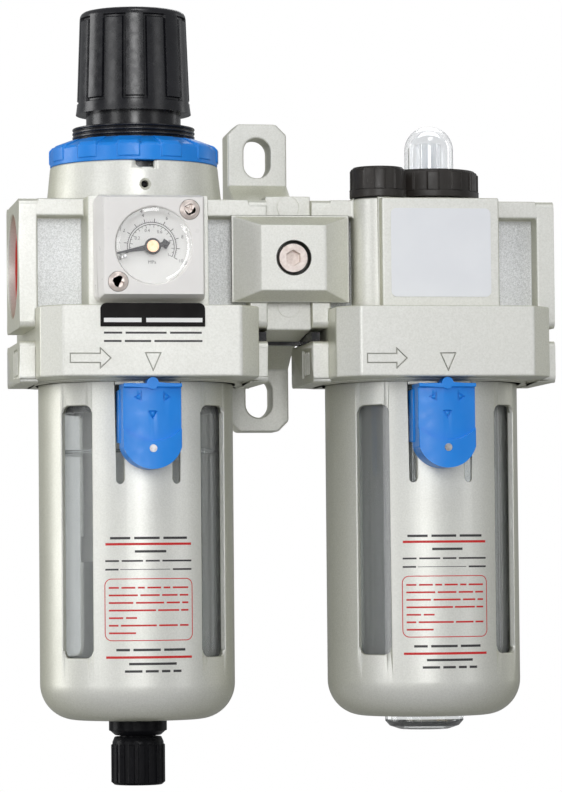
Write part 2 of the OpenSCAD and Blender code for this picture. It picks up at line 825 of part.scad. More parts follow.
module nameplate() color([0.08, 0.08, 0.08]) at_filter() plate_y(band_half_depth + fixed_gap, band_half_depth + 0.35)
  translate([0, -21.2]) difference() {
    rounded_rect(36.8, 10, 2.2);
    translate([-20, -6]) square([40, 2.75]);
  }

// Blanking cover on the spare gauge port at the back.
module rear_cover() color("gainsboro") at_filter() translate([0, 0, gauge_centre_z]) difference() {
  translate([0, pad_front - 6 + fixed_gap, 0]) rotate([-90, 0, 0]) linear_extrude(5) rounded_rect(gauge_base_w, gauge_base_h, 3);
  for (s = [-1, 1]) translate([s * gauge_screw_offset, 0, s * gauge_screw_offset]) rotate([-90, 0, 0]) cylinder(r = 1.55, h = 60);
}

module rear_cover_screws() color("silver") at_filter() for (s = [-1, 1])
  translate([s * gauge_screw_offset, 0, gauge_centre_z + s * gauge_screw_offset])
    rotate(180) pan_screw(pad_front - 1 + 2 * fixed_gap, pad_front - 12);

module inlet_seal_ring() color("red") at_filter() rotate([0, -90, 0])
  ring_z(mouth_radius - 0.1, port_radius + 1.3, unit_half - mouth_depth + fixed_gap, unit_half - 2.9);

// ==== joint between the units ====

// Spacer and wall bracket in one casting, with the flow passage through it.
module joint_bracket() color("gainsboro") at_joint() difference() {
  union() {
    box([-spacer_half, -spacer_front, -spacer_top], [spacer_half, 22, spacer_top]);
    // underside that slopes down towards the rear
    translate([-spacer_half, 0, 0]) rotate([90, 0, 90]) linear_extrude(2 * spacer_half) polygon([
      [-spacer_front, -spacer_top], [spacer_heel, -spacer_top - spacer_drop], [spacer_heel, 1 - spacer_top],
      [-spacer_front, 1 - spacer_top]
    ]);
    intersection() {
      translate([-bracket_half_width, 0, 0]) rotate([90, 0, 90]) linear_extrude(2 * bracket_half_width) polygon([
        [wall_distance, -tab_half_height], [wall_distance, tab_half_height], [tab_front, tab_half_height],
        [tab_front, 34.6], [38, 30.5], [21, 24], [21, -24], [38, -30.5],
        [tab_front, -34.6], [tab_front, -tab_half_height]
      ]);
      translate([0, 60, 0]) rotate([90, 0, 0]) linear_extrude(50) bracket_outline();
    }
  }
  rotate([0, 90, 0]) cylinder(r = flow_radius, h = 60, center = true);
  for (s = [-1, 1]) {
    translate([s * spacer_half, 0, 0]) rotate([0, 90, 0]) difference() {
      cylinder(r = 18.3, h = 3.2, center = true);
      cylinder(r = 15, h = 4, center = true);
    }
    translate([0, 0, s * slot_spacing / 2]) slot_cut();
  }
  translate([0, 0, clamp_centre_z]) rod_y(2.55, 14, spacer_front + 1);
  // cast roundels on the front face
  for (z = [-15.5, 20]) translate([0, 0, z]) plate_y(spacer_front - 0.4, spacer_front + 1) difference() {
    circle(4.2);
    circle(3.8);
  }
}

// Front view of the bracket with its cut corners.
module bracket_outline() {
  w = bracket_half_width;
  h = tab_half_height;
  c = 4;
  polygon([[-w, -h + c], [-w + c, -h], [w - c, -h], [w, -h + c], [w, h - c], [w - c, h], [-w + c, h], [-w, h - c]]);
}

module slot_cut() {
  straight = slot_length - slot_width;
  translate([0, 60, 0]) rotate([90, 0, 0]) linear_extrude(30) {
    square([slot_width, straight], center = true);
    for (s = [-1, 1]) translate([0, s * straight / 2]) circle(slot_width / 2);
  }
}

// Faceted clamp plate drawn tight on the front of both castings.
module joint_clamp() color("gainsboro") at_joint() translate([0, 0, clamp_centre_z]) difference() {
  union() {
    plate_y(flange_front + fixed_gap, 27.2) square([41.6, 30.4], center = true);
    sloped_block(27.2 - eps, 34.2, 41.6, 30.4, 23.2, 23.2);
    plate_y(spacer_front + fixed_gap, flange_front + 1) square([2 * spacer_half - 1, 20], center = true);
  }
  rod_y(2.7, 20, 50);
  rod_y(6.2, 28, 50);
}

module clamp_screw() color([0.8, 0.72, 0.66]) at_joint() translate([0, 0, clamp_centre_z]) difference() {
  union() {
    rod_y(5.1, 28 + fixed_gap, 33.4);
    rod_y(2.5, 15, 29);
  }
  plate_y(30.5, 35) rotate(30) circle(r = 2.89, $fn = 6);
}

module joint_seals() color([0.1, 0.1, 0.1]) at_joint() for (s = [-1, 1])
  translate([s * (spacer_half - 0.68), 0, 0]) rotate([0, 90, 0]) cord_ring(16.65, 0.7, 0);

// Black plastic key lying in the notches of both castings under the spacer.
module joint_retainer() color([0.08, 0.08, 0.08]) at_joint() difference() {
  box([-unit_pitch / 2 + unit_half - 3, -22.5, lug_top + 0.1], [unit_pitch / 2 - unit_half + 3, 8, -spacer_top - fixed_gap - 0.5]);
  for (s = [-1, 1]) {
    inner = unit_pitch / 2 - unit_half;
    x0 = s > 0 ? inner - 0.3 : -inner - 4;
    box([x0, -30, -24.7], [x0 + 4.3, 20, -20]);
  }
  box([-spacer_half - 0.1, -30, lug_top], [spacer_half + 0.1, spacer_heel + 0.2, -20]);
}

// ==== lubricator ====

module lubricator_body() color("gainsboro") at_lubricator() difference() {
  union() {
    casting_outside();
    translate([plug_x, plug_y, band_top - eps]) cylinder(r = plug_boss_radius, h = plug_base - 0.5 - band_top);
    translate([dome_x, dome_y, flange_top - eps]) cylinder(r = 17.4, h = dome_base - 0.3 - flange_top);
  }
  common_cuts();
  port_cut(-1, flow_radius, -30);
  port_cut(1, flow_radius, 0);
  // filling hole: a straight bore in the boss and a slanting drilling into the bowl
  translate([plug_x, plug_y, -12]) cylinder(r = 6.6, h = 60);
  translate([plug_x, plug_y, -8]) rotate([0, 0, 50]) rotate([0, 155, 0]) cylinder(r = 3.5, h = 18);
  // well under the sight dome, drip hole into the air passage
  translate([dome_x, dome_y, 18]) cylinder(r = 8, h = 20);
  translate([dome_x, dome_y, 10]) cylinder(r = 1.3, h = 10);
  // riser from the bowl: oil tube seat, ball chamber and two small drillings to the dome
  translate([dome_x, oil_tube_y, seal_bore_top - 1]) cylinder(r = 3.05, h = 8);
  translate([dome_x, oil_tube_y, -15]) cylinder(r = 2.1, h = 6);
  translate([dome_x, oil_tube_y, -10]) cylinder(r = 1, h = 31);
  translate([dome_x, oil_tube_y, 20]) rotate([90, 0, 0]) cylinder(r = 1, h = oil_tube_y - dome_y);
}

module label_plate() color("white") at_lubricator() plate_y(pad_front + fixed_gap, pad_front + 0.3)
  translate([0, 2.8]) rounded_rect(36.2, 31.6, 2);

module lubricator_rear_plate() color("gainsboro") at_lubricator() translate([0, pad_front - 6 + fixed_gap, gauge_centre_z])
  rotate([-90, 0, 0]) linear_extrude(0.5) rounded_rect(34, 32, 3);

// Raised grip pads round the side of a cap.
module grip_pads(radius, count, half_width, z0, z1) {
  for (i = [0 : count - 1]) rotate(360 * i / count - 97) intersection() {
    ring_z(radius - 0.15, radius - 1.5, z0 - 0.5, z1);
    box([radius - 3, -half_width, z0 - 1], [radius + 1, half_width, z1 + 1]);
  }
}

module fill_plug() color([0.12, 0.11, 0.11]) at_lubricator() translate([plug_x, plug_y, 0]) {
  top = plug_base + plug_height;
  ring_z(plug_radius - 0.5, 0, plug_base + 2.8, top - 0.6);
  ring_z(plug_radius, 0, plug_base, plug_base + 2.8 + eps);
  ring_z(plug_radius - 1.2, 0, top - 0.7, top);
  grip_pads(plug_radius, 8, 1.9, plug_base + 2.8, top - 1.2);
  ring_z(6.5, 0, 10, plug_base + eps);
}

module fill_plug_seal() color([0.1, 0.1, 0.1]) at_lubricator() translate([plug_x, plug_y, 0])
  ring_z(8.6, 6.55, plug_base - 0.48, plug_base - 0.03);

module sight_dome() color([0.9, 0.95, 1, 0.4]) at_lubricator() translate([dome_x, dome_y, 0]) difference() {
  shell_top = 51.8 - dome_radius;
  union() {
    ring_z(dome_radius, 0, dome_base + 2.2, shell_top);
    translate([0, 0, shell_top]) sphere(dome_radius);
    ring_z(12, 0, dome_base + 0.1, dome_base + 2.2 + eps);
  }
  ring_z(dome_radius - 1.8, 0, dome_base - 1, shell_top);
  translate([0, 0, shell_top]) sphere(dome_radius - 1.8);
}

// Knurled ring that carries the dome and is turned to set the drip rate.
module dome_ring() color([0.12, 0.11, 0.11]) at_lubricator() translate([dome_x, dome_y, 0]) difference() {
  union() {
    ring_z(dome_ring_radius, 0, dome_base, dome_base + 2.4);
    ring_z(dome_ring_radius - 0.7, 0, dome_base + 2.4 - eps, dome_ring_top - 0.6);
    ring_z(dome_ring_radius - 1.5, 0, dome_ring_top - 0.7, dome_ring_top);
    grip_pads(dome_ring_radius, 12, 2.1, dome_base + 2.4, dome_ring_top - 1.2);
  }
  ring_z(dome_radius + fixed_gap, 0, dome_base + 2.2, dome_ring_top + 1);
  ring_z(12 + fixed_gap, 0, dome_base - 1, dome_base + 2.2 + fixed_gap);
}

module dome_seal() color([0.1, 0.1, 0.1]) at_lubricator() translate([dome_x, dome_y, 0])
  ring_z(11.5, 9.5, dome_base - 0.28, dome_base + 0.05);

// Drip tube and metering needle that rise and fall with the dome ring.
module drip_needle() color([0.85, 0.88, 0.9]) at_lubricator() translate([dome_x, dome_y, 0]) {
  ring_z(4.6, 2.6, 28, 45);
  ring_z(6.4, 0, 27, 28 + eps);
  ring_z(1, 0, 15, 27 + eps);
  ring_z(1.4, 0, 28 - eps, 41);
}

// Spring-leaf flap that throttles the air passage.
module flow_damper() color("silver") at_lubricator() difference() {
  union() {
    intersection() {
      rotate([0, 90, 0]) cylinder(r = 11.8, h = 0.8, center = true);
      box([-2, -20, -12], [2, 20, 8.2]);
    }
    translate([0, 0, 9]) rotate([90, 0, 0]) cylinder(r = 1.1, h = 12, center = true);
  }
  translate([0, 0, 9]) rotate([90, 0, 0]) cylinder(r = 0.5, h = 30, center = true);
}

module oil_tube() color([0.9, 0.9, 0.88, 0.7]) at_lubricator() translate([dome_x, oil_tube_y, 0]) ring_z(3, 1.8, -150, -15.1);

module oil_strainer() color("goldenrod") at_lubricator() translate([dome_x, oil_tube_y, 0]) difference() {
  ring_z(5.2, 0, -155.5, -146);
  ring_z(3.02, 0, -150.02, -145);
  ring_z(1.8, 0, -154, -149);
}

module check_ball() color("silver") at_lubricator() translate([dome_x, oil_tube_y, -13.05]) sphere(1.95, $fn = 40);

module lubricator_bowl() color([0.75, 0.78, 0.8, 0.5]) at_lubricator() union() {
  clear_bowl(0);
  // domed sump that shows below the guard
  rotate_extrude() polygon([
    [0, -bowl_floor + 1], [0, -167.9], [9, -167.6], [12.6, -166.4], [14.2, -164.6], [14.2, -bowl_floor + 1]
  ]);
}

module lubricator_bowl_seal() color([0.1, 0.1, 0.1]) at_lubricator() bowl_seal();
module lubricator_bowl_guard() color("silver") at_lubricator() bowl_guard(14.6, lubricator_window_turn);
module lubricator_latch() color([0.1, 0.35, 0.8]) at_lubricator() bowl_latch();
module lubricator_latch_pin() color("silver") at_lubricator() latch_pin();
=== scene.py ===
"""Looks of a compressed-air filter regulator lubricator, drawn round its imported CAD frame.

Metres. +X runs along the air line, -Y faces the viewer, +Z is up. LEFT and RIGHT are points on the
standing centre lines of the filter regulator and of the lubricator. Turns are in degrees, from the
front towards +X.
"""

import json
import math

import bmesh
import bpy
from mathutils import Matrix, Vector


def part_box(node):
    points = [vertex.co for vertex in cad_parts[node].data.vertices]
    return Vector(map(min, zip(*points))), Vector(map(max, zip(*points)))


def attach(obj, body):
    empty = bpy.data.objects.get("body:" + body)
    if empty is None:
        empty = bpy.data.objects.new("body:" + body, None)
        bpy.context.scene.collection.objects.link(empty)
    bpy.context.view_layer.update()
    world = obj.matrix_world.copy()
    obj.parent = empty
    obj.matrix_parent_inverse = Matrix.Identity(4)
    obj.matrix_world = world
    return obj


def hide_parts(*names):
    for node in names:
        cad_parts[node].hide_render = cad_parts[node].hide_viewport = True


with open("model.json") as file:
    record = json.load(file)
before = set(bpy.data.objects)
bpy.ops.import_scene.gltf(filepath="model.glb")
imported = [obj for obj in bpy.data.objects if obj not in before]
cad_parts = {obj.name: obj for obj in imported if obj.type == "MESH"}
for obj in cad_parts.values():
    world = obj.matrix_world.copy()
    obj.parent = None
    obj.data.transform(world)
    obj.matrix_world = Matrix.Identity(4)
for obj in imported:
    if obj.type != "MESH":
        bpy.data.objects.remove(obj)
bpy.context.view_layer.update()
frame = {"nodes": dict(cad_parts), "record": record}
NODES = frame["nodes"]
MM = 0.001


# ==== places taken from the frame ====

def middle(node):
    """Centre of a CAD node's box."""
    low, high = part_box(node)
    return (low + high) / 2


LEFT = Vector((middle("filter_bowl").x, middle("filter_bowl").y, 0))
RIGHT = Vector((middle("lubricator_bowl").x, middle("lubricator_bowl").y, 0))
JOINT = (LEFT + RIGHT) / 2
GAUGE = Vector((LEFT.x, LEFT.y, middle("gauge_dial").z))
DIAL_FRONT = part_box("gauge_dial")[0].y
BAND_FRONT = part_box("regulator_body")[0].y
GUARD_RADIUS = 35 * MM
PORT_RADIUS = 15.15 * MM
PORT_LENGTH = 18 * MM
MOUTH_DEPTH = 4.4 * MM
FLANGE_FACE = 44.3 * MM
CORE_HALF_DEPTH = 18.5 * MM
PANEL_ASIDE = 29.5 * MM
PANEL_HEIGHT = -0.2 * MM
PANEL_HALF_WIDTH = 8.1 * MM
PANEL_HALF_HEIGHT = 15.9 * MM
MARKS_HALF_WIDTH = 30.5 * MM
MARKS_HALF_HEIGHT = 5 * MM
MARKS_HEIGHT = -36.2 * MM
RECESS_RADIUS = 6.35 * MM


# ==== shader building ====

class Shader:
    """One procedural material: a Principled shader and the nodes that feed it."""

    def __init__(self, name, colour, roughness, metallic=0.0, **more):
        self.material = bpy.data.materials.new(name)
        self.material.use_nodes = True
        self.tree = self.material.node_tree
        self.surface = self.tree.nodes["Principled BSDF"]
        self.set("Base Color", (*colour, 1))
        self.set("Roughness", roughness)
        self.set("Metallic", metallic)
        for socket, value in more.items():
            self.set(socket.replace("_", " "), value)
        place = self.tree.nodes.new("ShaderNodeTexCoord")
        self.place = place.outputs["Object"]

    def set(self, socket, value):
        target = self.surface.inputs[socket]
        if isinstance(value, bpy.types.NodeSocket):
            self.tree.links.new(value, target)
        else:
            target.default_value = value

    def feed(self, node, socket, value):
        if isinstance(value, bpy.types.NodeSocket):
            self.tree.links.new(value, node.inputs[socket])
        else:
            node.inputs[socket].default_value = value

    def axes(self):
        """The X, Y and Z of the shaded point."""
        split = self.tree.nodes.new("ShaderNodeSeparateXYZ")
        self.feed(split, "Vector", self.place)
        return split.outputs["X"], split.outputs["Y"], split.outputs["Z"]

    def noise(self, scale, detail=2.0, roughness=0.5, stretch=(1, 1, 1)):
        mapping = self.tree.nodes.new("ShaderNodeMapping")
        self.feed(mapping, "Vector", self.place)
        mapping.inputs["Scale"].default_value = stretch
        node = self.tree.nodes.new("ShaderNodeTexNoise")
        self.feed(node, "Vector", mapping.outputs["Vector"])
        self.feed(node, "Scale", scale)
        self.feed(node, "Detail", detail)
        self.feed(node, "Roughness", roughness)
        return node.outputs["Fac"]

    def cells(self, scale):
        node = self.tree.nodes.new("ShaderNodeTexVoronoi")
        self.feed(node, "Vector", self.place)
        self.feed(node, "Scale", scale)
        return node.outputs["Distance"]

    def ramp(self, factor, stops):
        node = self.tree.nodes.new("ShaderNodeValToRGB")
        self.feed(node, "Fac", factor)
        elements = node.color_ramp.elements
        while len(elements) < len(stops):
            elements.new(0.5)
        for element, (position, colour) in zip(elements, stops):
            element.position = position
            element.color = (*colour, 1) if len(colour) == 3 else colour
        return node.outputs["Color"]

    def span(self, factor, low, high, at_low=0.3, at_high=0.7):
        """A number that runs from low to high as the factor does from at_low to at_high."""
        node = self.tree.nodes.new("ShaderNodeMapRange")
        self.feed(node, "Value", factor)
        self.feed(node, "From Min", at_low)
        self.feed(node, "From Max", at_high)
        self.feed(node, "To Min", low)
        self.feed(node, "To Max", high)
        return node.outputs["Result"]

    def calc(self, kind, first, second=0.0):
        """A number worked out from one or two others by a named operation."""
        node = self.tree.nodes.new("ShaderNodeMath")
        node.operation = kind
        self.feed(node, 0, first)
        self.feed(node, 1, second)
        return node.outputs[0]

    def mix(self, factor, first, second):
        node = self.tree.nodes.new("ShaderNodeMix")
        node.data_type = "RGBA"
        self.feed(node, 0, factor)
        self.feed(node, 6, first if isinstance(first, bpy.types.NodeSocket) else (*first, 1))
        self.feed(node, 7, second if isinstance(second, bpy.types.NodeSocket) else (*second, 1))
        return node.outputs[2]

    def bump(self, height, strength, distance, normal=None):
        node = self.tree.nodes.new("ShaderNodeBump")
        self.feed(node, "Height", height)
        self.feed(node, "Strength", strength)
        self.feed(node, "Distance", distance)
        if normal is not None:
            self.feed(node, "Normal", normal)
        self.set("Normal", node.outputs["Normal"])
        return node.outputs["Normal"]

    def let_lamps_through(self, tint):
        """Glass that lamps shine through, so that what lies behind it is lit."""
        nodes = self.tree.nodes
        path = nodes.new("ShaderNodeLightPath")
        clear = nodes.new("ShaderNodeBsdfTransparent")
        clear.inputs["Color"].default_value = (*tint, 1)
        join = nodes.new("ShaderNodeMixShader")
        output = nodes["Material Output"]
        self.tree.links.new(path.outputs["Is Shadow Ray"], join.inputs[0])
        self.tree.links.new(self.surface.outputs[0], join.inputs[1])
        self.tree.links.new(clear.outputs[0], join.inputs[2])
        self.tree.links.new(join.outputs[0], output.inputs["Surface"])


def within(shader, value, middle_value, reach):
    """1 where a number is nearer than reach to its middle value, else 0."""
    offset = shader.calc("SUBTRACT", value, middle_value)
    return shader.calc("LESS_THAN", shader.calc("ABSOLUTE", offset), reach)


def beside_unit(shader, x):
    """Distance from the nearer unit's centre line, towards the outside of the assembly."""
    return shader.calc("SUBTRACT", shader.calc("ABSOLUTE", x), RIGHT.x)


def casting_panels(shader):
    """1 on the sunk panels between the pads and the end flanges, which are left as cast."""
    x, y, z = shader.axes()
    aside = shader.calc("ABSOLUTE", beside_unit(shader, x))
    depth = shader.calc("ABSOLUTE", shader.calc("SUBTRACT", y, LEFT.y))
    on_core = within(shader, depth, CORE_HALF_DEPTH, 0.3 * MM)
    across = within(shader, aside, PANEL_ASIDE, PANEL_HALF_WIDTH)
    upright = within(shader, z, PANEL_HEIGHT, PANEL_HALF_HEIGHT)
    return shader.calc("MULTIPLY", shader.calc("MULTIPLY", across, upright), on_core)


def engraved_lines(shader):
    """1 inside the engraved marks on the front of the band, where painted shade darkens the grooves."""
    x, y, z = shader.axes()
    across = within(shader, beside_unit(shader, x), 0.0, MARKS_HALF_WIDTH)
    upright = within(shader, z, MARKS_HEIGHT, MARKS_HALF_HEIGHT)
    under_front = within(shader, y, BAND_FRONT + 0.45 * MM, 0.35 * MM)
    return shader.calc("MULTIPLY", shader.calc("MULTIPLY", across, upright), under_front)


def screw_recess(shader):
    """1 inside the recess of the clamp screw, where painted shade darkens the recess."""
    x, y, z = shader.axes()
    screw = middle("clamp_screw")
    across = shader.calc("SUBTRACT", x, screw.x)
    height = shader.calc("SUBTRACT", z, screw.z)
    wide = shader.calc("MULTIPLY", across, across)
    high = shader.calc("MULTIPLY", height, height)
    squares = shader.calc("ADD", wide, high)
    return shader.calc("LESS_THAN", squares, RECESS_RADIUS ** 2)


def flip_flop(shader, face_on, glancing):
    """Metallic paint with painted sheen and shade: pale and neutral seen face-on, darker and more olive at a
    glancing angle.
    """
    view = shader.tree.nodes.new("ShaderNodeLayerWeight")
    view.inputs["Blend"].default_value = 0.5
    return shader.mix(shader.span(view.outputs["Facing"], 0, 1, 0.12, 0.68), face_on, glancing)


def painted_casting():
    """Warm grey metallic paint over a slightly grainy die casting; bare grain in the sunk panels."""
    s = Shader("painted_casting", (0.6, 0.6, 0.5), 0.42, 0.3, Coat_Weight=0.25, Coat_Roughness=0.3)
    panel = casting_panels(s)
    grain = s.noise(1500, 2.0, 0.6)
    flake = s.noise(3600, 1.0)
    cloud = s.noise(45, 3.0)
    # Painted sheen and shade: the face-on colour is pale and neutral, the glancing colour darker and more
    # olive.
    face_on = s.ramp(grain, [(0.3, (0.735, 0.735, 0.69)), (0.7, (0.83, 0.83, 0.79))])
    glancing = s.ramp(grain, [(0.3, (0.53, 0.53, 0.415)), (0.7, (0.63, 0.63, 0.51))])
    paint = flip_flop(s, face_on, glancing)
    paint = s.mix(s.span(flake, 0, 0.5, 0.55, 0.75), paint, (0.90, 0.90, 0.87))
    paint = s.mix(s.span(cloud, 0, 0.12), paint, (0.56, 0.565, 0.48))
    silver = s.ramp(s.noise(2300, 3.0, 0.7), [(0.35, (0.58, 0.59, 0.59)), (0.65, (0.86, 0.87, 0.88))])
    # Painted shade: the engraved marks on the band are darkened towards (0.20, 0.20, 0.16).
    paint = s.mix(s.calc("MULTIPLY", engraved_lines(s), 0.6), paint, (0.20, 0.20, 0.16))
    # Painted shade: the recess round the clamp screw is darkened almost to black.
    paint = s.mix(s.calc("MULTIPLY", screw_recess(s), 0.92), paint, (0.02, 0.02, 0.015))
    s.set("Base Color", s.mix(panel, paint, silver))
    s.set("Roughness", s.calc("ADD", s.span(cloud, 0.36, 0.46), s.calc("MULTIPLY", panel, 0.08)))
    s.set("Metallic", s.calc("ADD", 0.3, s.calc("MULTIPLY", panel, 0.25)))
    pit_strength = s.calc("ADD", 0.12, s.calc("MULTIPLY", panel, 0.5))
    pits = s.bump(s.noise(1000, 3.0, 0.65), pit_strength, 0.35 * MM)
    s.bump(s.noise(260, 2.0), 0.08, 0.4 * MM, pits)
    return s.material


def guard_paint():
    """Finer, silkier metallic paint of the pressed bowl guards."""
    s = Shader("guard_metal", (0.6, 0.6, 0.5), 0.4, 0.4, Coat_Weight=0.2, Coat_Roughness=0.3)
    grain = s.noise(1800, 2.0, 0.6)
    flake = s.noise(4200, 1.0)
    cloud = s.noise(30, 3.0)
    # Painted sheen and shade: the face-on colour is pale and neutral, the glancing colour darker and more
    # olive.
    face_on = s.ramp(grain, [(0.3, (0.72, 0.72, 0.675)), (0.7, (0.81, 0.81, 0.765))])
    glancing = s.ramp(grain, [(0.3, (0.50, 0.50, 0.40)), (0.7, (0.59, 0.59, 0.48))])
    paint = flip_flop(s, face_on, glancing)
    paint = s.mix(s.span(flake, 0, 0.45, 0.55, 0.75), paint, (0.90, 0.90, 0.86))
    s.set("Base Color", s.mix(s.span(cloud, 0, 0.1), paint, (0.57, 0.575, 0.49)))
    s.set("Roughness", s.span(cloud, 0.35, 0.43))
    fine = s.bump(s.noise(1600, 2.0, 0.6), 0.1, 0.2 * MM)
    s.bump(s.noise(220, 2.0), 0.05, 0.3 * MM, fine)
    return s.material


def moulded(name, dark, light, roughness, grain=1500, bump=0.1, dust=0.0, **more):
    """Injection-moulded plastic: fine grain, uneven sheen and a little dust."""
    s = Shader(name, light, roughness, 0.0, **more)
    cloud = s.noise(60, 3.0)
    colour = s.ramp(cloud, [(0.3, dark), (0.7, light)])
    if dust:
        specks = s.span(s.noise(900, 2.0, 0.7), 0, dust, 0.66, 0.74)
        colour = s.mix(specks, colour, (0.42, 0.41, 0.38))
    s.set("Base Color", colour)
    s.set("Roughness", s.span(s.noise(300, 3.0), roughness - 0.06, roughness + 0.08))
    s.bump(s.noise(grain, 2.0, 0.6), bump, 0.15 * MM)
    return s.material


def clear_plastic(name, tint, roughness=0.03, lamps=None, clear=1.0):
    """Clear polycarbonate with faint flow waves from moulding."""
    s = Shader(name, tint, roughness, 0.0, IOR=1.5, Transmission_Weight=clear)
    waves = s.noise(120, 2.0, 0.5, (1, 1, 0.15))
    s.set("Roughness", s.span(waves, roughness, roughness + 0.03))
    s.bump(waves, 0.06, 0.3 * MM)
    if lamps is not None:
        s.let_lamps_through(lamps)
    return s.material


def metal(name, dark, light, roughness, grain=700, stretch=(1, 1, 1), bump=0.08, metallic=1.0):
    """Bare or plated metal with fine turning or drawing marks."""
    s = Shader(name, light, roughness, metallic)
    marks = s.noise(grain, 3.0, 0.6, stretch)
    s.set("Base Color", s.ramp(marks, [(0.3, dark), (0.7, light)]))
    s.set("Roughness", s.span(s.noise(200, 3.0), roughness - 0.05, roughness + 0.08))
    s.bump(marks, bump, 0.1 * MM)
    return s.material


def sintered():
    """Porous white filter medium."""
    s = Shader("filter_media", (0.86, 0.85, 0.81), 0.8)
    pores = s.cells(1400)
    s.set("Base Color", s.ramp(pores, [(0.1, (0.74, 0.73, 0.69)), (0.5, (0.88, 0.87, 0.84))]))
    s.bump(pores, 0.4, 0.3 * MM)
    return s.material


def printed(name, colour, roughness=0.45):
    """Screen-printed ink, a little uneven in cover."""
    s = Shader(name, colour, roughness)
    worn = s.noise(2600, 2.0, 0.7)
    pale = tuple(0.8 * c + 0.12 for c in colour)
    s.set("Base Color", s.mix(s.span(worn, 0, 0.35, 0.6, 0.8), colour, pale))
    s.bump(s.noise(1800), 0.05, 0.05 * MM)
    return s.material


MATERIALS = {
    "painted_casting": painted_casting(),
    "guard_metal": guard_paint(),
    "black_plastic": moulded("black_plastic", (0.006, 0.006, 0.008), (0.011, 0.011, 0.014), 0.24, 1500, 0.05,
                             dust=0.05),
    "blue_plastic": moulded("blue_plastic", (0.0035, 0.215, 0.74), (0.0055, 0.25, 0.82), 0.36, 1300, 0.06),
    "white_plastic": moulded("white_plastic", (0.74, 0.73, 0.70), (0.80, 0.79, 0.76), 0.4, 900, 0.06),
    "gauge_plastic": moulded("gauge_plastic", (0.80, 0.78, 0.76), (0.85, 0.83, 0.81), 0.33, 1000, 0.05),
    "filter_media": sintered(),
    "clear_plastic": clear_plastic("clear_plastic", (0.82, 0.84, 0.84), clear=0.88),
    "dial_white": moulded("dial_white", (0.53, 0.53, 0.52), (0.57, 0.57, 0.56), 0.6, 1500, 0.03),
    "pointer_black": moulded("pointer_black", (0.02, 0.02, 0.023), (0.03, 0.03, 0.034), 0.4),
    "brass": metal("brass", (0.62, 0.42, 0.17), (0.80, 0.60, 0.30), 0.28),
    "steel": metal("steel", (0.42, 0.42, 0.43), (0.62, 0.62, 0.63), 0.3),
    "nickel_screw": metal("nickel_screw", (0.70, 0.60, 0.55), (0.90, 0.81, 0.76), 0.33, metallic=0.4),
    "rubber": moulded("rubber", (0.015, 0.015, 0.015), (0.03, 0.03, 0.03), 0.7, 800, 0.2),
    "black_label": moulded("black_label", (0.007, 0.006, 0.006), (0.012, 0.010, 0.010), 0.6, 900, 0.04,
                           IOR=1.25),
    "white_label": moulded("white_label", (0.80, 0.815, 0.85), (0.84, 0.855, 0.885), 0.42, 500, 0.05),
    "red_plastic": moulded("red_plastic", (0.62, 0.03, 0.02), (0.75, 0.05, 0.03), 0.4, 900, 0.08),
}
SIGHT_PLASTIC = clear_plastic("sight_plastic", (0.87, 0.88, 0.89), 0.02,
                              lamps=(0.93, 0.94, 0.95), clear=0.95)
LENS_PLASTIC = clear_plastic("lens_plastic", (0.985, 0.985, 0.985), 0.02, lamps=(0.96, 0.96, 0.96))
CAP_PLASTIC = moulded("cap_plastic", (0.013, 0.010, 0.008), (0.022, 0.018, 0.015), 0.42, dust=0.08)
DRAIN_PLASTIC = moulded("drain_plastic", (0.004, 0.004, 0.005), (0.007, 0.007, 0.009), 0.3,
                        dust=0.03, IOR=1.2)
HUB_COPPER = metal("hub_copper", (0.74, 0.40, 0.24), (0.88, 0.56, 0.38), 0.35, metallic=0.5)
RED_INK = printed("red_ink", (0.60, 0.012, 0.012))
BLACK_INK = printed("black_ink", (0.035, 0.033, 0.035))
WHITE_INK = printed("white_ink", (0.86, 0.86, 0.85))

OWN_FINISH = {
    "sight_dome": SIGHT_PLASTIC,
    "gauge_lens": LENS_PLASTIC,
    "drip_needle": SIGHT_PLASTIC,
    "fill_plug": CAP_PLASTIC,
    "dome_ring": CAP_PLASTIC,
    "drain_knob": DRAIN_PLASTIC,
    "drain_body": DRAIN_PLASTIC,
    "gauge_hub": HUB_COPPER,
}
SLOTS = {row["node"]: row["material_slot"] for row in frame["record"]["subparts"]}
for name, node in NODES.items():
    finish = OWN_FINISH.get(name, MATERIALS[SLOTS[name]])
    node.data.materials.clear()
    node.data.materials.append(finish)


# ==== rounding the edges of the CAD nodes ====

GRID = 200000
MARK_DEPTH = 0.75 * MM
MARKS_LOW = -41.2 * MM
MARKS_HIGH = -31 * MM
RIBS_LOW = -40.6 * MM
RIBS_HIGH = -30.4 * MM
RIBS_FRONT = LEFT.y - 18.2 * MM
RIBS_REAR = LEFT.y - 2.8 * MM
SAME_PLACE = 2e-6
NEARLY_FLAT = math.radians(0.6)


def corner_key(point):
    """A vertex position as whole steps of 5 micrometres, equal for vertices at the same place."""
    return tuple(round(c * GRID) for c in point)


def on_band_front(a, b):
    """True for the edges of the marks engraved in the front of the band."""
    return all(p.y < BAND_FRONT + MARK_DEPTH and MARKS_LOW < p.z < MARKS_HIGH for p in (a, b))


def on_lug_panel(a, b):
    """True for the edges of the small ribs on the outer faces of the lugs."""
    if abs(abs(a.x) - RIGHT.x) <= FLANGE_FACE - 0.7 * MM:
        return False
    return all(RIBS_LOW < p.z < RIBS_HIGH and RIBS_FRONT < p.y < RIBS_REAR for p in (a, b))


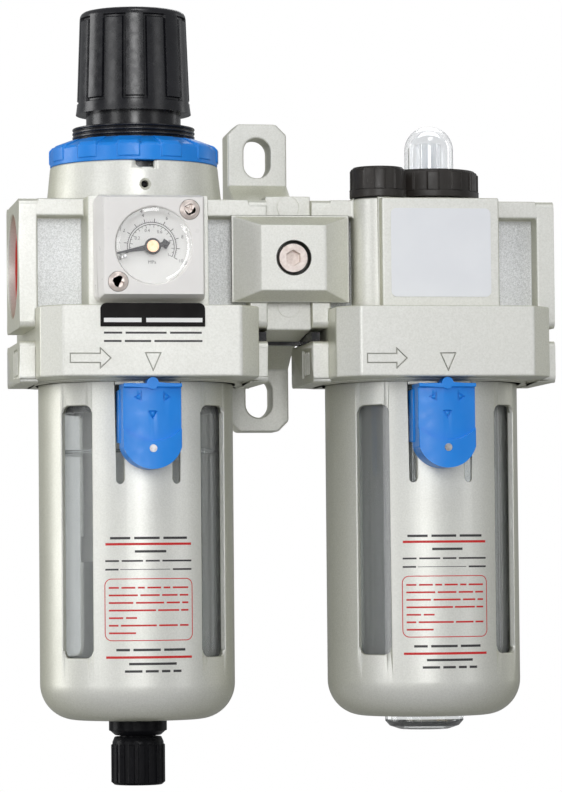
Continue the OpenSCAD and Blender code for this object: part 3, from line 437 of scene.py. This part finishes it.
def sharp_lines(mesh, shortest, skip, sharp_angle):
    """The mesh's sharp edges by their ends: 1 for an edge to round, 0 for one that stays sharp."""
    welded = bmesh.new()
    welded.from_mesh(mesh)
    bmesh.ops.remove_doubles(welded, verts=welded.verts, dist=SAME_PLACE)
    bmesh.ops.dissolve_limit(welded, angle_limit=NEARLY_FLAT, verts=welded.verts, edges=welded.edges)
    lines = {}
    for edge in welded.edges:
        if not edge.is_manifold or edge.calc_face_angle(0) < math.radians(sharp_angle):
            continue
        a = edge.verts[0].co
        b = edge.verts[1].co
        kept = edge.calc_length() < shortest or (skip is not None and skip(a, b))
        lines[frozenset((corner_key(a), corner_key(b)))] = 0.0 if kept else 1.0
    welded.free()
    return lines


def edge_layer(mesh, name, kind):
    """The mesh's own values per edge under this name, made if it has none yet."""
    return mesh.attributes.get(name) or mesh.attributes.new(name, kind, "EDGE")


def soften(name, width, segments=3, shortest=0.7 * MM, skip=None, sharp_angle=25):
    """Rounds a node's sharp edges by modifiers; edges that are too short or skipped stay sharp.

    Where edges are skipped, the band's front with its engraved marks is shaded flat.
    """
    node = NODES[name]
    mesh = node.data
    lines = sharp_lines(mesh, shortest, skip, sharp_angle)
    weight = edge_layer(mesh, "bevel_weight_edge", "FLOAT")
    sharp = edge_layer(mesh, "sharp_edge", "BOOLEAN")
    keys = [corner_key(v.co) for v in mesh.vertices]
    for edge in mesh.edges:
        share = lines.get(frozenset((keys[edge.vertices[0]], keys[edge.vertices[1]])))
        weight.data[edge.index].value = share or 0.0
        sharp.data[edge.index].value = share == 0.0
    for face in mesh.polygons:
        engraved = all(mesh.vertices[v].co.y < BAND_FRONT + MARK_DEPTH for v in face.vertices)
        face.use_smooth = not (skip is not None and engraved)
    weld = node.modifiers.new("weld", "WELD")
    weld.merge_threshold = SAME_PLACE
    flat = node.modifiers.new("flat", "DECIMATE")
    flat.decimate_type = "DISSOLVE"
    flat.angle_limit = NEARLY_FLAT
    bevel = node.modifiers.new("round", "BEVEL")
    bevel.limit_method = "WEIGHT"
    bevel.width = width
    bevel.segments = segments
    bevel.use_clamp_overlap = False
    normals = node.modifiers.new("normals", "WEIGHTED_NORMAL")
    normals.keep_sharp = True
    normals.weight = 80


def marks_and_ribs(a, b):
    return on_band_front(a, b) or on_lug_panel(a, b)


for casting in ("regulator_body", "lubricator_body"):
    soften(casting, 0.7 * MM, skip=marks_and_ribs)
soften("joint_bracket", 0.7 * MM)
soften("joint_clamp", 0.5 * MM)
soften("gauge_housing", 0.5 * MM)
soften("rear_cover", 0.5 * MM)
soften("adjusting_knob", 0.3 * MM)
soften("bonnet_ring", 0.3 * MM)
soften("bonnet", 0.2 * MM)
for guard in ("filter_bowl_guard", "lubricator_bowl_guard"):
    soften(guard, 0.45 * MM, shortest=0.4 * MM)
for latch in ("filter_latch", "lubricator_latch"):
    soften(latch, 0.3 * MM)
for cap in ("fill_plug", "dome_ring", "drain_knob", "drain_body"):
    soften(cap, 0.25 * MM, segments=2, shortest=0.3 * MM)
for small in ("clamp_screw", "gauge_screws", "rear_cover_screws", "gauge_hub"):
    soften(small, 0.15 * MM, segments=2, shortest=0.2 * MM)


# ==== mesh helpers ====

def make_piece(name, vertices, faces, body, material, smooth=False):
    """A mesh object with outward faces that rides on a body and is filed under a material slot."""
    mesh = bpy.data.meshes.new(name)
    mesh.from_pydata([tuple(v) for v in vertices], [], faces)
    mesh.materials.append(material)
    tidy = bmesh.new()
    tidy.from_mesh(mesh)
    bmesh.ops.recalc_face_normals(tidy, faces=tidy.faces)
    tidy.to_mesh(mesh)
    tidy.free()
    for face in mesh.polygons:
        face.use_smooth = smooth
    if smooth:
        mesh.set_sharp_from_angle(angle=math.radians(35))
    mesh.update()
    piece = bpy.data.objects.new(name, mesh)
    bpy.context.scene.collection.objects.link(piece)
    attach(piece, body)
    return piece


class Print:
    """Flat ink shapes in width and height, later laid on a surface as thin closed solids."""

    def __init__(self, step=1.5 * MM):
        self.vertices = []
        self.faces = []
        self.step = step

    def strip(self, lower, upper, closed=False):
        """A band between two rows of points."""
        start = len(self.vertices)
        count = len(lower)
        for layer in (0, 1):
            for row in (lower, upper):
                self.vertices += [(u, z, layer) for u, z in row]
        back_low, back_up, front_low, front_up = (start + count * i for i in range(4))
        pairs = [(i, i + 1) for i in range(count - 1)]
        if closed:
            pairs.append((count - 1, 0))
        for i, j in pairs:
            self.faces.append((front_low + i, front_low + j, front_up + j, front_up + i))
            self.faces.append((back_low + i, back_up + i, back_up + j, back_low + j))
            self.faces.append((back_low + i, back_low + j, front_low + j, front_low + i))
            self.faces.append((back_up + i, front_up + i, front_up + j, back_up + j))
        if not closed:
            for i in (0, count - 1):
                self.faces.append((back_low + i, front_low + i, front_up + i, back_up + i))

    def bar(self, left, right, centre, height):
        """A straight level line, cut into steps so that it can be wrapped."""
        steps = max(1, round((right - left) / self.step))
        across = [left + (right - left) * i / steps for i in range(steps + 1)]
        low = [(u, centre - height / 2) for u in across]
        high = [(u, centre + height / 2) for u in across]
        self.strip(low, high)

    def words(self, left, right, centre, height, letters, gap=0.75):
        """A line of bars standing for words with these numbers of letters."""
        whole = sum(letters) + gap * (len(letters) - 1)
        pitch = (right - left) / whole
        at = left
        for count in letters:
            self.bar(at, at + count * pitch, centre, height)
            at += (count + gap) * pitch

    def outline(self, points, width, closed=True):
        """A line of even width along a path."""
        inner = []
        outer = []
        count = len(points)
        for i, point in enumerate(points):
            before = points[i - 1] if closed or i > 0 else point
            after = points[(i + 1) % count] if closed or i < count - 1 else point
            along = (Vector(after) - Vector(before)).normalized()
            side = Vector((-along.y, along.x)) * width / 2
            inner.append((point[0] - side.x, point[1] - side.y))
            outer.append((point[0] + side.x, point[1] + side.y))
        self.strip(inner, outer, closed)

    def arc(self, radius, width, start, end, steps=60):
        """Part of a ring; angles in degrees from the right, anticlockwise."""
        turn = [math.radians(start + (end - start) * i / steps) for i in range(steps + 1)]
        self.outline([(radius * math.cos(a), radius * math.sin(a)) for a in turn], width, closed=False)

    def spoke(self, angle, inner, outer, width):
        """A straight line from one radius to another; the angle is in degrees from the right."""
        a = math.radians(angle)
        out = Vector((math.cos(a), math.sin(a)))
        side = Vector((-out.y, out.x)) * width / 2
        low = [out * inner - side, out * outer - side]
        high = [out * inner + side, out * outer + side]
        self.strip([tuple(p) for p in low], [tuple(p) for p in high])

    def lay_flat(self, name, centre, front, thickness, body, material):
        """On a plane facing -Y; front is the plane's own Y."""
        places = [(centre.x + u, front + 0.01 * MM - layer * thickness, centre.z + z)
                  for u, z, layer in self.vertices]
        return make_piece(name, places, self.faces, body, material)

    def wrap(self, name, centre, radius, thickness, turn, body, material):
        """On the front of a standing cylinder; turn moves the print round it, in degrees."""
        places = []
        for u, z, layer in self.vertices:
            a = u / radius + math.radians(turn)
            r = radius - 0.01 * MM + layer * thickness
            places.append((centre.x + r * math.sin(a), centre.y - r * math.cos(a), z))
        return make_piece(name, places, self.faces, body, material)


def rounded_frame(left, right, low, high, radius, steps=6):
    """Points round a rectangle with round corners."""
    corners = ((right, high, 0), (left, high, 90), (left, low, 180), (right, low, 270))
    points = []
    for x, z, start in corners:
        cx = x - math.copysign(radius, x)
        cz = z + (radius if z == low else -radius)
        for i in range(steps + 1):
            a = math.radians(start + 90 * i / steps)
            points.append((cx + radius * math.cos(a), cz + radius * math.sin(a)))
    return points


def subdivide_path(points, step):
    """The same closed path with its long straight parts cut into steps."""
    fine = []
    for i, point in enumerate(points):
        a = Vector(point)
        b = Vector(points[(i + 1) % len(points)])
        cuts = max(1, round((b - a).length / step))
        fine += [tuple(a.lerp(b, k / cuts)) for k in range(cuts)]
    return fine


def ring_faces(rows, columns):
    """Quads between successive rows of a grid of vertices whose columns go right round."""
    faces = []
    for row in range(rows - 1):
        for i in range(columns):
            j = (i + 1) % columns
            low = row * columns
            high = low + columns
            faces.append((low + i, low + j, high + j, high + i))
    return faces


def revolve(profile, centre, steps=72):
    """Vertices and faces of a closed (radius, height) profile turned round a standing line."""
    vertices = []
    faces = []
    count = len(profile)
    for i in range(steps):
        a = 2 * math.pi * i / steps
        vertices += [(centre.x + r * math.cos(a), centre.y + r * math.sin(a), z) for r, z in profile]
    for i in range(steps):
        for k in range(count):
            here = i * count
            there = (i + 1) % steps * count
            faces.append((here + k, there + k, there + (k + 1) % count, here + (k + 1) % count))
    return vertices, faces


# ==== prints ====

INK = 0.03 * MM


BOLD = 0.85 * MM
PLAIN = 0.62 * MM
HAIRLINE = 0.22 * MM

# Lines of print on a guard, in millimetres: left end, right end, height; then thickness and words.
BLACK_LINES = (
    (-14, 14, -97.9, BOLD, [4, 5, 5]),
    (-5.2, 6, -102.6, BOLD, [8]),
    (-15.8, 15.8, -105.9, PLAIN, [4, 6, 4, 9]),
    (-15.8, -11, -108.9, PLAIN, [4]),
    (-10.4, 7.4, -108.9, HAIRLINE, [1]),
    (8.4, 15.8, -108.9, PLAIN, [6]),
    (-12, 13, -137.1, BOLD, [3, 6, 5]),
    (-7.5, 9.6, -142, BOLD, [12]),
    (-9, 11.4, -144.6, BOLD, [4, 3, 2, 2]),
)
NOTE_TOP = -115.3
NOTE_PITCH = 2.65
NOTE_LEFT = -14.6
# Right end and words of each line of the framed note.
NOTE_LINES = (
    (14.4, [3, 4, 2, 4, 2, 5]),
    (14.4, [9, 6, 5, 3]),
    (14.4, [7, 8, 4, 2]),
    (14.4, [17, 8, 3]),
    (-4.6, [4, 3]),
    (14.4, [3, 11, 6, 3]),
    (-5, [8]),
)


def guard_print(unit, centre, body, turn):
    """Two red level lines, a framed note and lines of small print, all without letters."""
    red = Print()
    dark = Print()
    for height in (-100, -139.7):
        red.bar(-15.7 * MM, 15.7 * MM, height * MM, BOLD)
    frame_path = rounded_frame(-16 * MM, 16 * MM, -133.8 * MM, -112.2 * MM, 2.4 * MM)
    red.outline(subdivide_path(frame_path, 1.5 * MM), 0.32 * MM)
    for row, (right, letters) in enumerate(NOTE_LINES):
        height = NOTE_TOP - NOTE_PITCH * row
        red.words(NOTE_LEFT * MM, right * MM, height * MM, PLAIN, letters)
    for left, right, height, thickness, letters in BLACK_LINES:
        dark.words(left * MM, right * MM, height * MM, thickness, letters)
    red_name = unit + "_guard_print_red"
    dark_name = unit + "_guard_print_black"
    red.wrap(red_name, centre, GUARD_RADIUS, INK, turn, body, RED_INK)
    dark.wrap(dark_name, centre, GUARD_RADIUS, INK, turn, body, BLACK_INK)


guard_print("filter", LEFT, "filter_bowl", 0)
guard_print("lubricator", RIGHT, "lubricator_bowl", 2.4)

band_lines = Print()
band_lines.words(-17.2 * MM, 17.2 * MM, -26.6 * MM, 0.7 * MM, [4, 9, 7])
band_lines.words(-17.2 * MM, 17.4 * MM, -29.5 * MM, 0.7 * MM, [4, 6, 11])
band_lines.lay_flat("band_print", Vector((LEFT.x, 0, 0)), BAND_FRONT, INK, "main",
                    BLACK_INK)

plate_bars = Print()
plate_bars.words(-17.2 * MM, 17.4 * MM, -22.2 * MM, 1.5 * MM, [6, 9])
plate_bars.lay_flat("nameplate_print", Vector((LEFT.x, 0, 0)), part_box("nameplate")[0].y, INK, "main",
                    WHITE_INK)


def dial_angle(share):
    """Direction of a scale value between 0 and 1, in degrees."""
    return 194 - 220 * share


def dial_print():
    """Two arcs with ticks inside and outside for two pressure scales."""
    scale = Print(0.5 * MM)
    for radius in (7.85, 8.55):
        scale.arc(radius * MM, 0.24 * MM, dial_angle(0), dial_angle(1))
    for i in range(51):
        reach = 1.35 if i % 5 == 0 else 0.5
        width = 0.26 if i % 5 == 0 else 0.1
        scale.spoke(dial_angle(i / 50), 8.55 * MM, (8.55 + reach) * MM, width * MM)
    for i in range(21):
        reach = 1.1 if i % 2 == 0 else 0.6
        scale.spoke(dial_angle(i / 20), (7.85 - reach) * MM, 7.85 * MM, 0.18 * MM)
    scale.lay_flat("gauge_scale", GAUGE, DIAL_FRONT, INK, "main", BLACK_INK)


dial_print()


def dial_number(text, angle, radius, height):
    """Extruded figure lying on the dial."""
    curve = bpy.data.curves.new("figure", "FONT")
    curve.body = text
    curve.size = height
    curve.align_x = "CENTER"
    curve.align_y = "CENTER"
    curve.extrude = INK / 2
    curve.resolution_u = 3
    holder = bpy.data.objects.new("figure", curve)
    bpy.context.scene.collection.objects.link(holder)
    a = math.radians(angle)
    place = GAUGE + Vector((radius * math.cos(a), 0, radius * math.sin(a)))
    place.y = DIAL_FRONT - INK / 2
    turn = Matrix.Translation(place) @ Matrix.Rotation(math.radians(90), 4, "X")
    bpy.context.view_layer.update()
    graph = bpy.context.evaluated_depsgraph_get()
    mesh = bpy.data.meshes.new_from_object(holder.evaluated_get(graph))
    mesh.transform(turn)
    bpy.data.objects.remove(holder)
    return mesh


def dial_numbers():
    """All figures of the dial and the pressure unit as one piece."""
    figures = bmesh.new()
    labels = [(str(n), dial_angle(n / 10), 11.3 * MM, 1.7 * MM) for n in (2, 4, 6, 8, 10)]
    labels += [(f"0.{n}", dial_angle(n / 10), 5.9 * MM, 1.6 * MM) for n in (2, 4, 6, 8)]
    labels.append(("1", dial_angle(1), 6.4 * MM, 1.6 * MM))
    labels.append(("MPa", -90, 5.4 * MM, 1.7 * MM))
    for text, angle, radius, height in labels:
        mesh = dial_number(text, angle, radius, height)
        figures.from_mesh(mesh)
        bpy.data.meshes.remove(mesh)
    bmesh.ops.remove_doubles(figures, verts=figures.verts, dist=1e-6)
    mesh = bpy.data.meshes.new("gauge_figures")
    figures.to_mesh(mesh)
    figures.free()
    mesh.materials.append(BLACK_INK)
    piece = bpy.data.objects.new("gauge_figures", mesh)
    bpy.context.scene.collection.objects.link(piece)
    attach(piece, "main")


dial_numbers()


# ==== small hardware ====

def merge_doubles(piece):
    """Joins vertices at the same place, as on the line where radius is zero."""
    trim = bmesh.new()
    trim.from_mesh(piece.data)
    bmesh.ops.remove_doubles(trim, verts=trim.verts, dist=1e-7)
    trim.to_mesh(piece.data)
    trim.free()


def stop_pin():
    """Round-ended pin on the dial that the needle rests on."""
    profile = [(0.0, 0.0), (0.55, 0.0), (0.55, 1.9), (0.42, 2.15), (0.0, 2.25)]
    vertices = []
    steps = 20
    place = GAUGE + Vector((-9.6 * MM, 0, -3.4 * MM))
    for radius, out in profile:
        r = radius * MM
        y = DIAL_FRONT - out * MM
        for i in range(steps):
            a = 2 * math.pi * i / steps
            vertices.append((place.x + r * math.cos(a), y, place.z + r * math.sin(a)))
    faces = ring_faces(len(profile), steps)
    finish = MATERIALS["steel"]
    piece = make_piece("gauge_stop_pin", vertices, faces, "main", finish, smooth=True)
    merge_doubles(piece)


stop_pin()


def pipe_thread(name, side, unit):
    """Ridges of the pipe thread, one continuous helix on the wall of the port."""
    pitch = 2.309 * MM
    per_turn = 48
    turns = int(PORT_LENGTH / pitch) - 1
    lead_in = 0.6 * MM
    start = FLANGE_FACE - MOUTH_DEPTH - lead_in
    section = [(0.02, -0.95), (-0.42, -0.22), (-0.42, 0.22), (0.02, 0.95)]
    vertices = []
    faces = []
    steps = turns * per_turn
    for i in range(steps + 1):
        a = 2 * math.pi * i / per_turn
        fade = min(1, i / per_turn * 2, (steps - i) / per_turn * 2)
        for rise, along in section:
            r = PORT_RADIUS + (rise * fade if rise < 0 else rise) * MM
            x = start - pitch / 2 - pitch * i / per_turn + along * MM
            vertices.append((unit.x + side * x, unit.y + r * math.cos(a), r * math.sin(a)))
    for i in range(steps):
        for k in range(4):
            p = i * 4 + k
            q = i * 4 + (k + 1) % 4
            faces.append((p, p + 4, q + 4, q))
    faces.append((0, 1, 2, 3))
    faces.append(tuple(steps * 4 + k for k in (3, 2, 1, 0)))
    finish = MATERIALS["painted_casting"]
    make_piece(name, vertices, faces, "main", finish, smooth=True)


pipe_thread("inlet_thread", -1, LEFT)
pipe_thread("outlet_thread", 1, RIGHT)


def bowl_rib(name, centre, body):
    """Clear ring moulded round the inside of the bowl."""
    inner = 28.6
    profile = [(inner + 0.02, -66.4), (inner - 0.5, -66.7), (inner - 0.5, -67.3), (inner + 0.02, -67.6)]
    vertices, faces = revolve([(r * MM, z * MM) for r, z in profile], centre, 96)
    make_piece(name, vertices, faces, body, MATERIALS["clear_plastic"], smooth=True)


bowl_rib("filter_bowl_rib", LEFT, "filter_bowl")


def knob_shell():
    """Adjusting knob with a meandering groove that outlines sixteen grip tongues.

    Every other tongue is joined at its top, and the ones between at their bottom. Sizes in here
    are millimetres and degrees; a row is a radius, a height and whether the groove is cut in it.
    """
    tongues = 16
    mean_radius = 19.8
    first_edge = -16.9
    groove_low = 59.6
    groove_high = 89.2
    depth = 0.9
    wall = 0.7
    floor = 0.3
    bottom = 55.2
    bore = 16.2
    bore_top = 66.0
    shape = [(bottom, 20.8), (58.2, 20.4), (89.9, 19.2)]
    shape += [(90.9, 19.0), (91.6, 18.6), (92.1, 17.9), (92.3, 17.0)]
    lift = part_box("adjusting_knob")[1].z / MM - shape[-1][0]

    def outside(z):
        for (z0, r0), (z1, r1) in zip(shape, shape[1:]):
            if z <= z1:
                return r0 + (r1 - r0) * (z - z0) / (z1 - z0)
        return shape[-1][1]

    heights = {z for z, r in shape} | {56.5}
    for z in (groove_low, groove_high):
        heights |= {z - wall, z - floor, z + floor, z + wall}
    heights |= {groove_low + (groove_high - groove_low) * i / 10 for i in range(1, 10)}
    rows = [(0.0, 92.0, False), (12.0, 92.0, False), (16.2, 92.1, False)]
    rows += [(outside(z), z, True) for z in sorted(heights, reverse=True)]
    rows += [(bore + 0.4, bottom, False), (bore, bottom + 0.4, False)]
    rows += [(bore, bore_top, False), (0.0, bore_top, False)]
    pitch = 360 / tongues
    edges = [math.degrees(offset / mean_radius) for offset in (-wall, -floor, floor, wall)]
    columns = []
    for k in range(tongues):
        columns += [k * pitch + edge for edge in edges]
        columns += [(k + share) * pitch for share in (0.22, 0.38, 0.54, 0.7, 0.84)]

    def sunk(distance):
        return max(0.0, min(1.0, (wall - abs(distance)) / (wall - floor)))

    def groove(angle, z):
        nearest = round(angle / pitch)
        aside = math.radians(angle - nearest * pitch) * mean_radius
        cut = sunk(aside) if groove_low - floor <= z <= groove_high + floor else 0.0
        joined_at_top = math.floor(angle / pitch) % 2 == 0
        across = sunk(z - groove_low) if joined_at_top else sunk(z - groove_high)
        return max(cut, across) * depth

    vertices = []
    for radius, z, grooved in rows:
        for angle in columns:
            a = math.radians(angle + first_edge)
            r = (radius - (groove(angle, z) if grooved else 0.0)) * MM
            vertices.append((LEFT.x + r * math.sin(a), LEFT.y - r * math.cos(a), (z + lift) * MM))
    faces = ring_faces(len(rows), len(columns))
    finish = MATERIALS["black_plastic"]
    shell = make_piece("knob_shell", vertices, faces, "adjusting_knob", finish,
                       smooth=True)
    merge_doubles(shell)
    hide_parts("adjusting_knob")


knob_shell()


def cast_ring(name, place, radius):
    """Shallow ejector ring on the front of the bracket's lower tab."""
    ring = Print()
    steps = 40
    turn = [2 * math.pi * i / steps for i in range(steps)]
    ring.outline([(radius * math.cos(a), radius * math.sin(a)) for a in turn], 0.35 * MM)
    finish = MATERIALS["painted_casting"]
    ring.lay_flat(name, place, place.y, 0.12 * MM, "main", finish)


tab_front = -12.5 * MM
cast_ring("bracket_ejector_ring", Vector((-7.4 * MM, tab_front, -53.4 * MM)), 2.0 * MM)


# ==== floor, light and camera ====

def studio_white():
    """Seen directly or through glass it is white; towards the lamps' light it acts as a grey sheet."""
    s = Shader("studio_white", (0.3, 0.3, 0.3), 0.9)
    s.set("Base Color", s.ramp(s.noise(3.0), [(0.3, (0.41, 0.41, 0.41)), (0.7, (0.45, 0.45, 0.45))]))
    nodes = s.tree.nodes
    path = nodes.new("ShaderNodeLightPath")
    seen = s.calc("MAXIMUM", path.outputs["Is Camera Ray"], path.outputs["Is Transmission Ray"])
    glow = nodes.new("ShaderNodeEmission")
    join = nodes.new("ShaderNodeMixShader")
    s.tree.links.new(seen, join.inputs[0])
    s.tree.links.new(s.surface.outputs[0], join.inputs[1])
    s.tree.links.new(glow.outputs[0], join.inputs[2])
    s.tree.links.new(join.outputs[0], nodes["Material Output"].inputs["Surface"])
    return s.material


def studio():
    """White floor under the unit, open on all sides."""
    reach = 8.0
    height = -0.30
    corners = [(x * reach, y * reach, height) for x, y in ((-1, -1), (1, -1), (1, 1), (-1, 1))]
    mesh = bpy.data.meshes.new("studio_floor")
    mesh.from_pydata(corners, [], [(0, 1, 2, 3)])
    floor = bpy.data.objects.new("studio_floor", mesh)
    bpy.context.scene.collection.objects.link(floor)
    mesh.materials.append(studio_white())


def softbox(name, turn, rise, distance, width, height, power):
    """A rectangular lamp aimed at the unit; turn and rise are angles seen from the unit."""
    lamp = bpy.data.lights.new(name, "AREA")
    lamp.shape = "RECTANGLE"
    lamp.size = width
    lamp.size_y = height
    lamp.energy = power
    a = math.radians(turn)
    e = math.radians(rise)
    aim = Vector((JOINT.x, JOINT.y, -0.04))
    out = Vector((math.sin(a) * math.cos(e), -math.cos(a) * math.cos(e), math.sin(e)))
    holder = bpy.data.objects.new(name, lamp)
    holder.location = aim + distance * out
    holder.rotation_mode = "QUATERNION"
    holder.rotation_quaternion = (-out).to_track_quat("-Z", "Y")
    bpy.context.scene.collection.objects.link(holder)


# Name, turn and rise in degrees, distance, width and height in metres, power in watts.
LAMPS = (
    ("front", -6, 11, 1.6, 0.4, 0.7, 6.8),
    ("low_front", -24, -14, 1.6, 0.4, 0.4, 3.2),
    ("top", 4, 58, 1.5, 0.5, 0.4, 4.0),
    ("left", -54, 5, 1.4, 0.4, 1.2, 4.2),
    ("left_back", -108, 5, 1.3, 0.5, 1.2, 6.8),
    ("right", 45, 8, 1.5, 0.4, 1.2, 1.9),
    ("right_back", 114, 5, 1.3, 0.25, 1.2, 1.0),
    ("rear", 165, 35, 1.8, 0.8, 0.8, 3.0),
)


def lighting():
    """The lamps, and a room that is white to the eye and grey as a source of light."""
    for lamp in LAMPS:
        softbox(*lamp)
    world = bpy.data.worlds.new("room")
    world.use_nodes = True
    tree = world.node_tree
    room = tree.nodes["Background"]
    room.inputs["Color"].default_value = (0.96, 0.98, 1.0, 1)
    room.inputs["Strength"].default_value = 0.34
    white = tree.nodes.new("ShaderNodeBackground")
    path = tree.nodes.new("ShaderNodeLightPath")
    join = tree.nodes.new("ShaderNodeMixShader")
    white.inputs["Color"].default_value = (1, 1, 1, 1)
    seen = tree.nodes.new("ShaderNodeMath")
    seen.operation = "MAXIMUM"
    tree.links.new(path.outputs["Is Camera Ray"], seen.inputs[0])
    tree.links.new(path.outputs["Is Transmission Ray"], seen.inputs[1])
    tree.links.new(seen.outputs[0], join.inputs[0])
    tree.links.new(room.outputs[0], join.inputs[1])
    tree.links.new(white.outputs[0], join.inputs[2])
    tree.links.new(join.outputs[0], tree.nodes["World Output"].inputs["Surface"])
    bpy.context.scene.world = world
    bpy.context.scene.view_settings.view_transform = "Standard"


def camera():
    """Long lens from the left, a little below the middle and looking slightly up."""
    yaw = math.radians(9.7)
    pitch = math.radians(2.63)
    roll = math.radians(-0.53)
    level = math.cos(pitch)
    forward = Vector((math.sin(yaw) * level, math.cos(yaw) * level, math.sin(pitch)))
    right = Vector((math.cos(yaw), -math.sin(yaw), 0))
    up = right.cross(forward)
    tilted_right = math.cos(roll) * right + math.sin(roll) * up
    tilted_up = math.cos(roll) * up - math.sin(roll) * right
    turn = Matrix((tilted_right, tilted_up, -forward)).transposed().to_4x4()
    lens = bpy.data.cameras.new("camera")
    lens.lens = 171.7
    lens.sensor_width = 36
    holder = bpy.data.objects.new("camera", lens)
    holder.matrix_world = Matrix.Translation((-0.230, -1.40684, -0.1094)) @ turn
    bpy.context.scene.collection.objects.link(holder)
    bpy.context.scene.camera = holder


studio()
lighting()
camera()

bpy.context.view_layer.update()
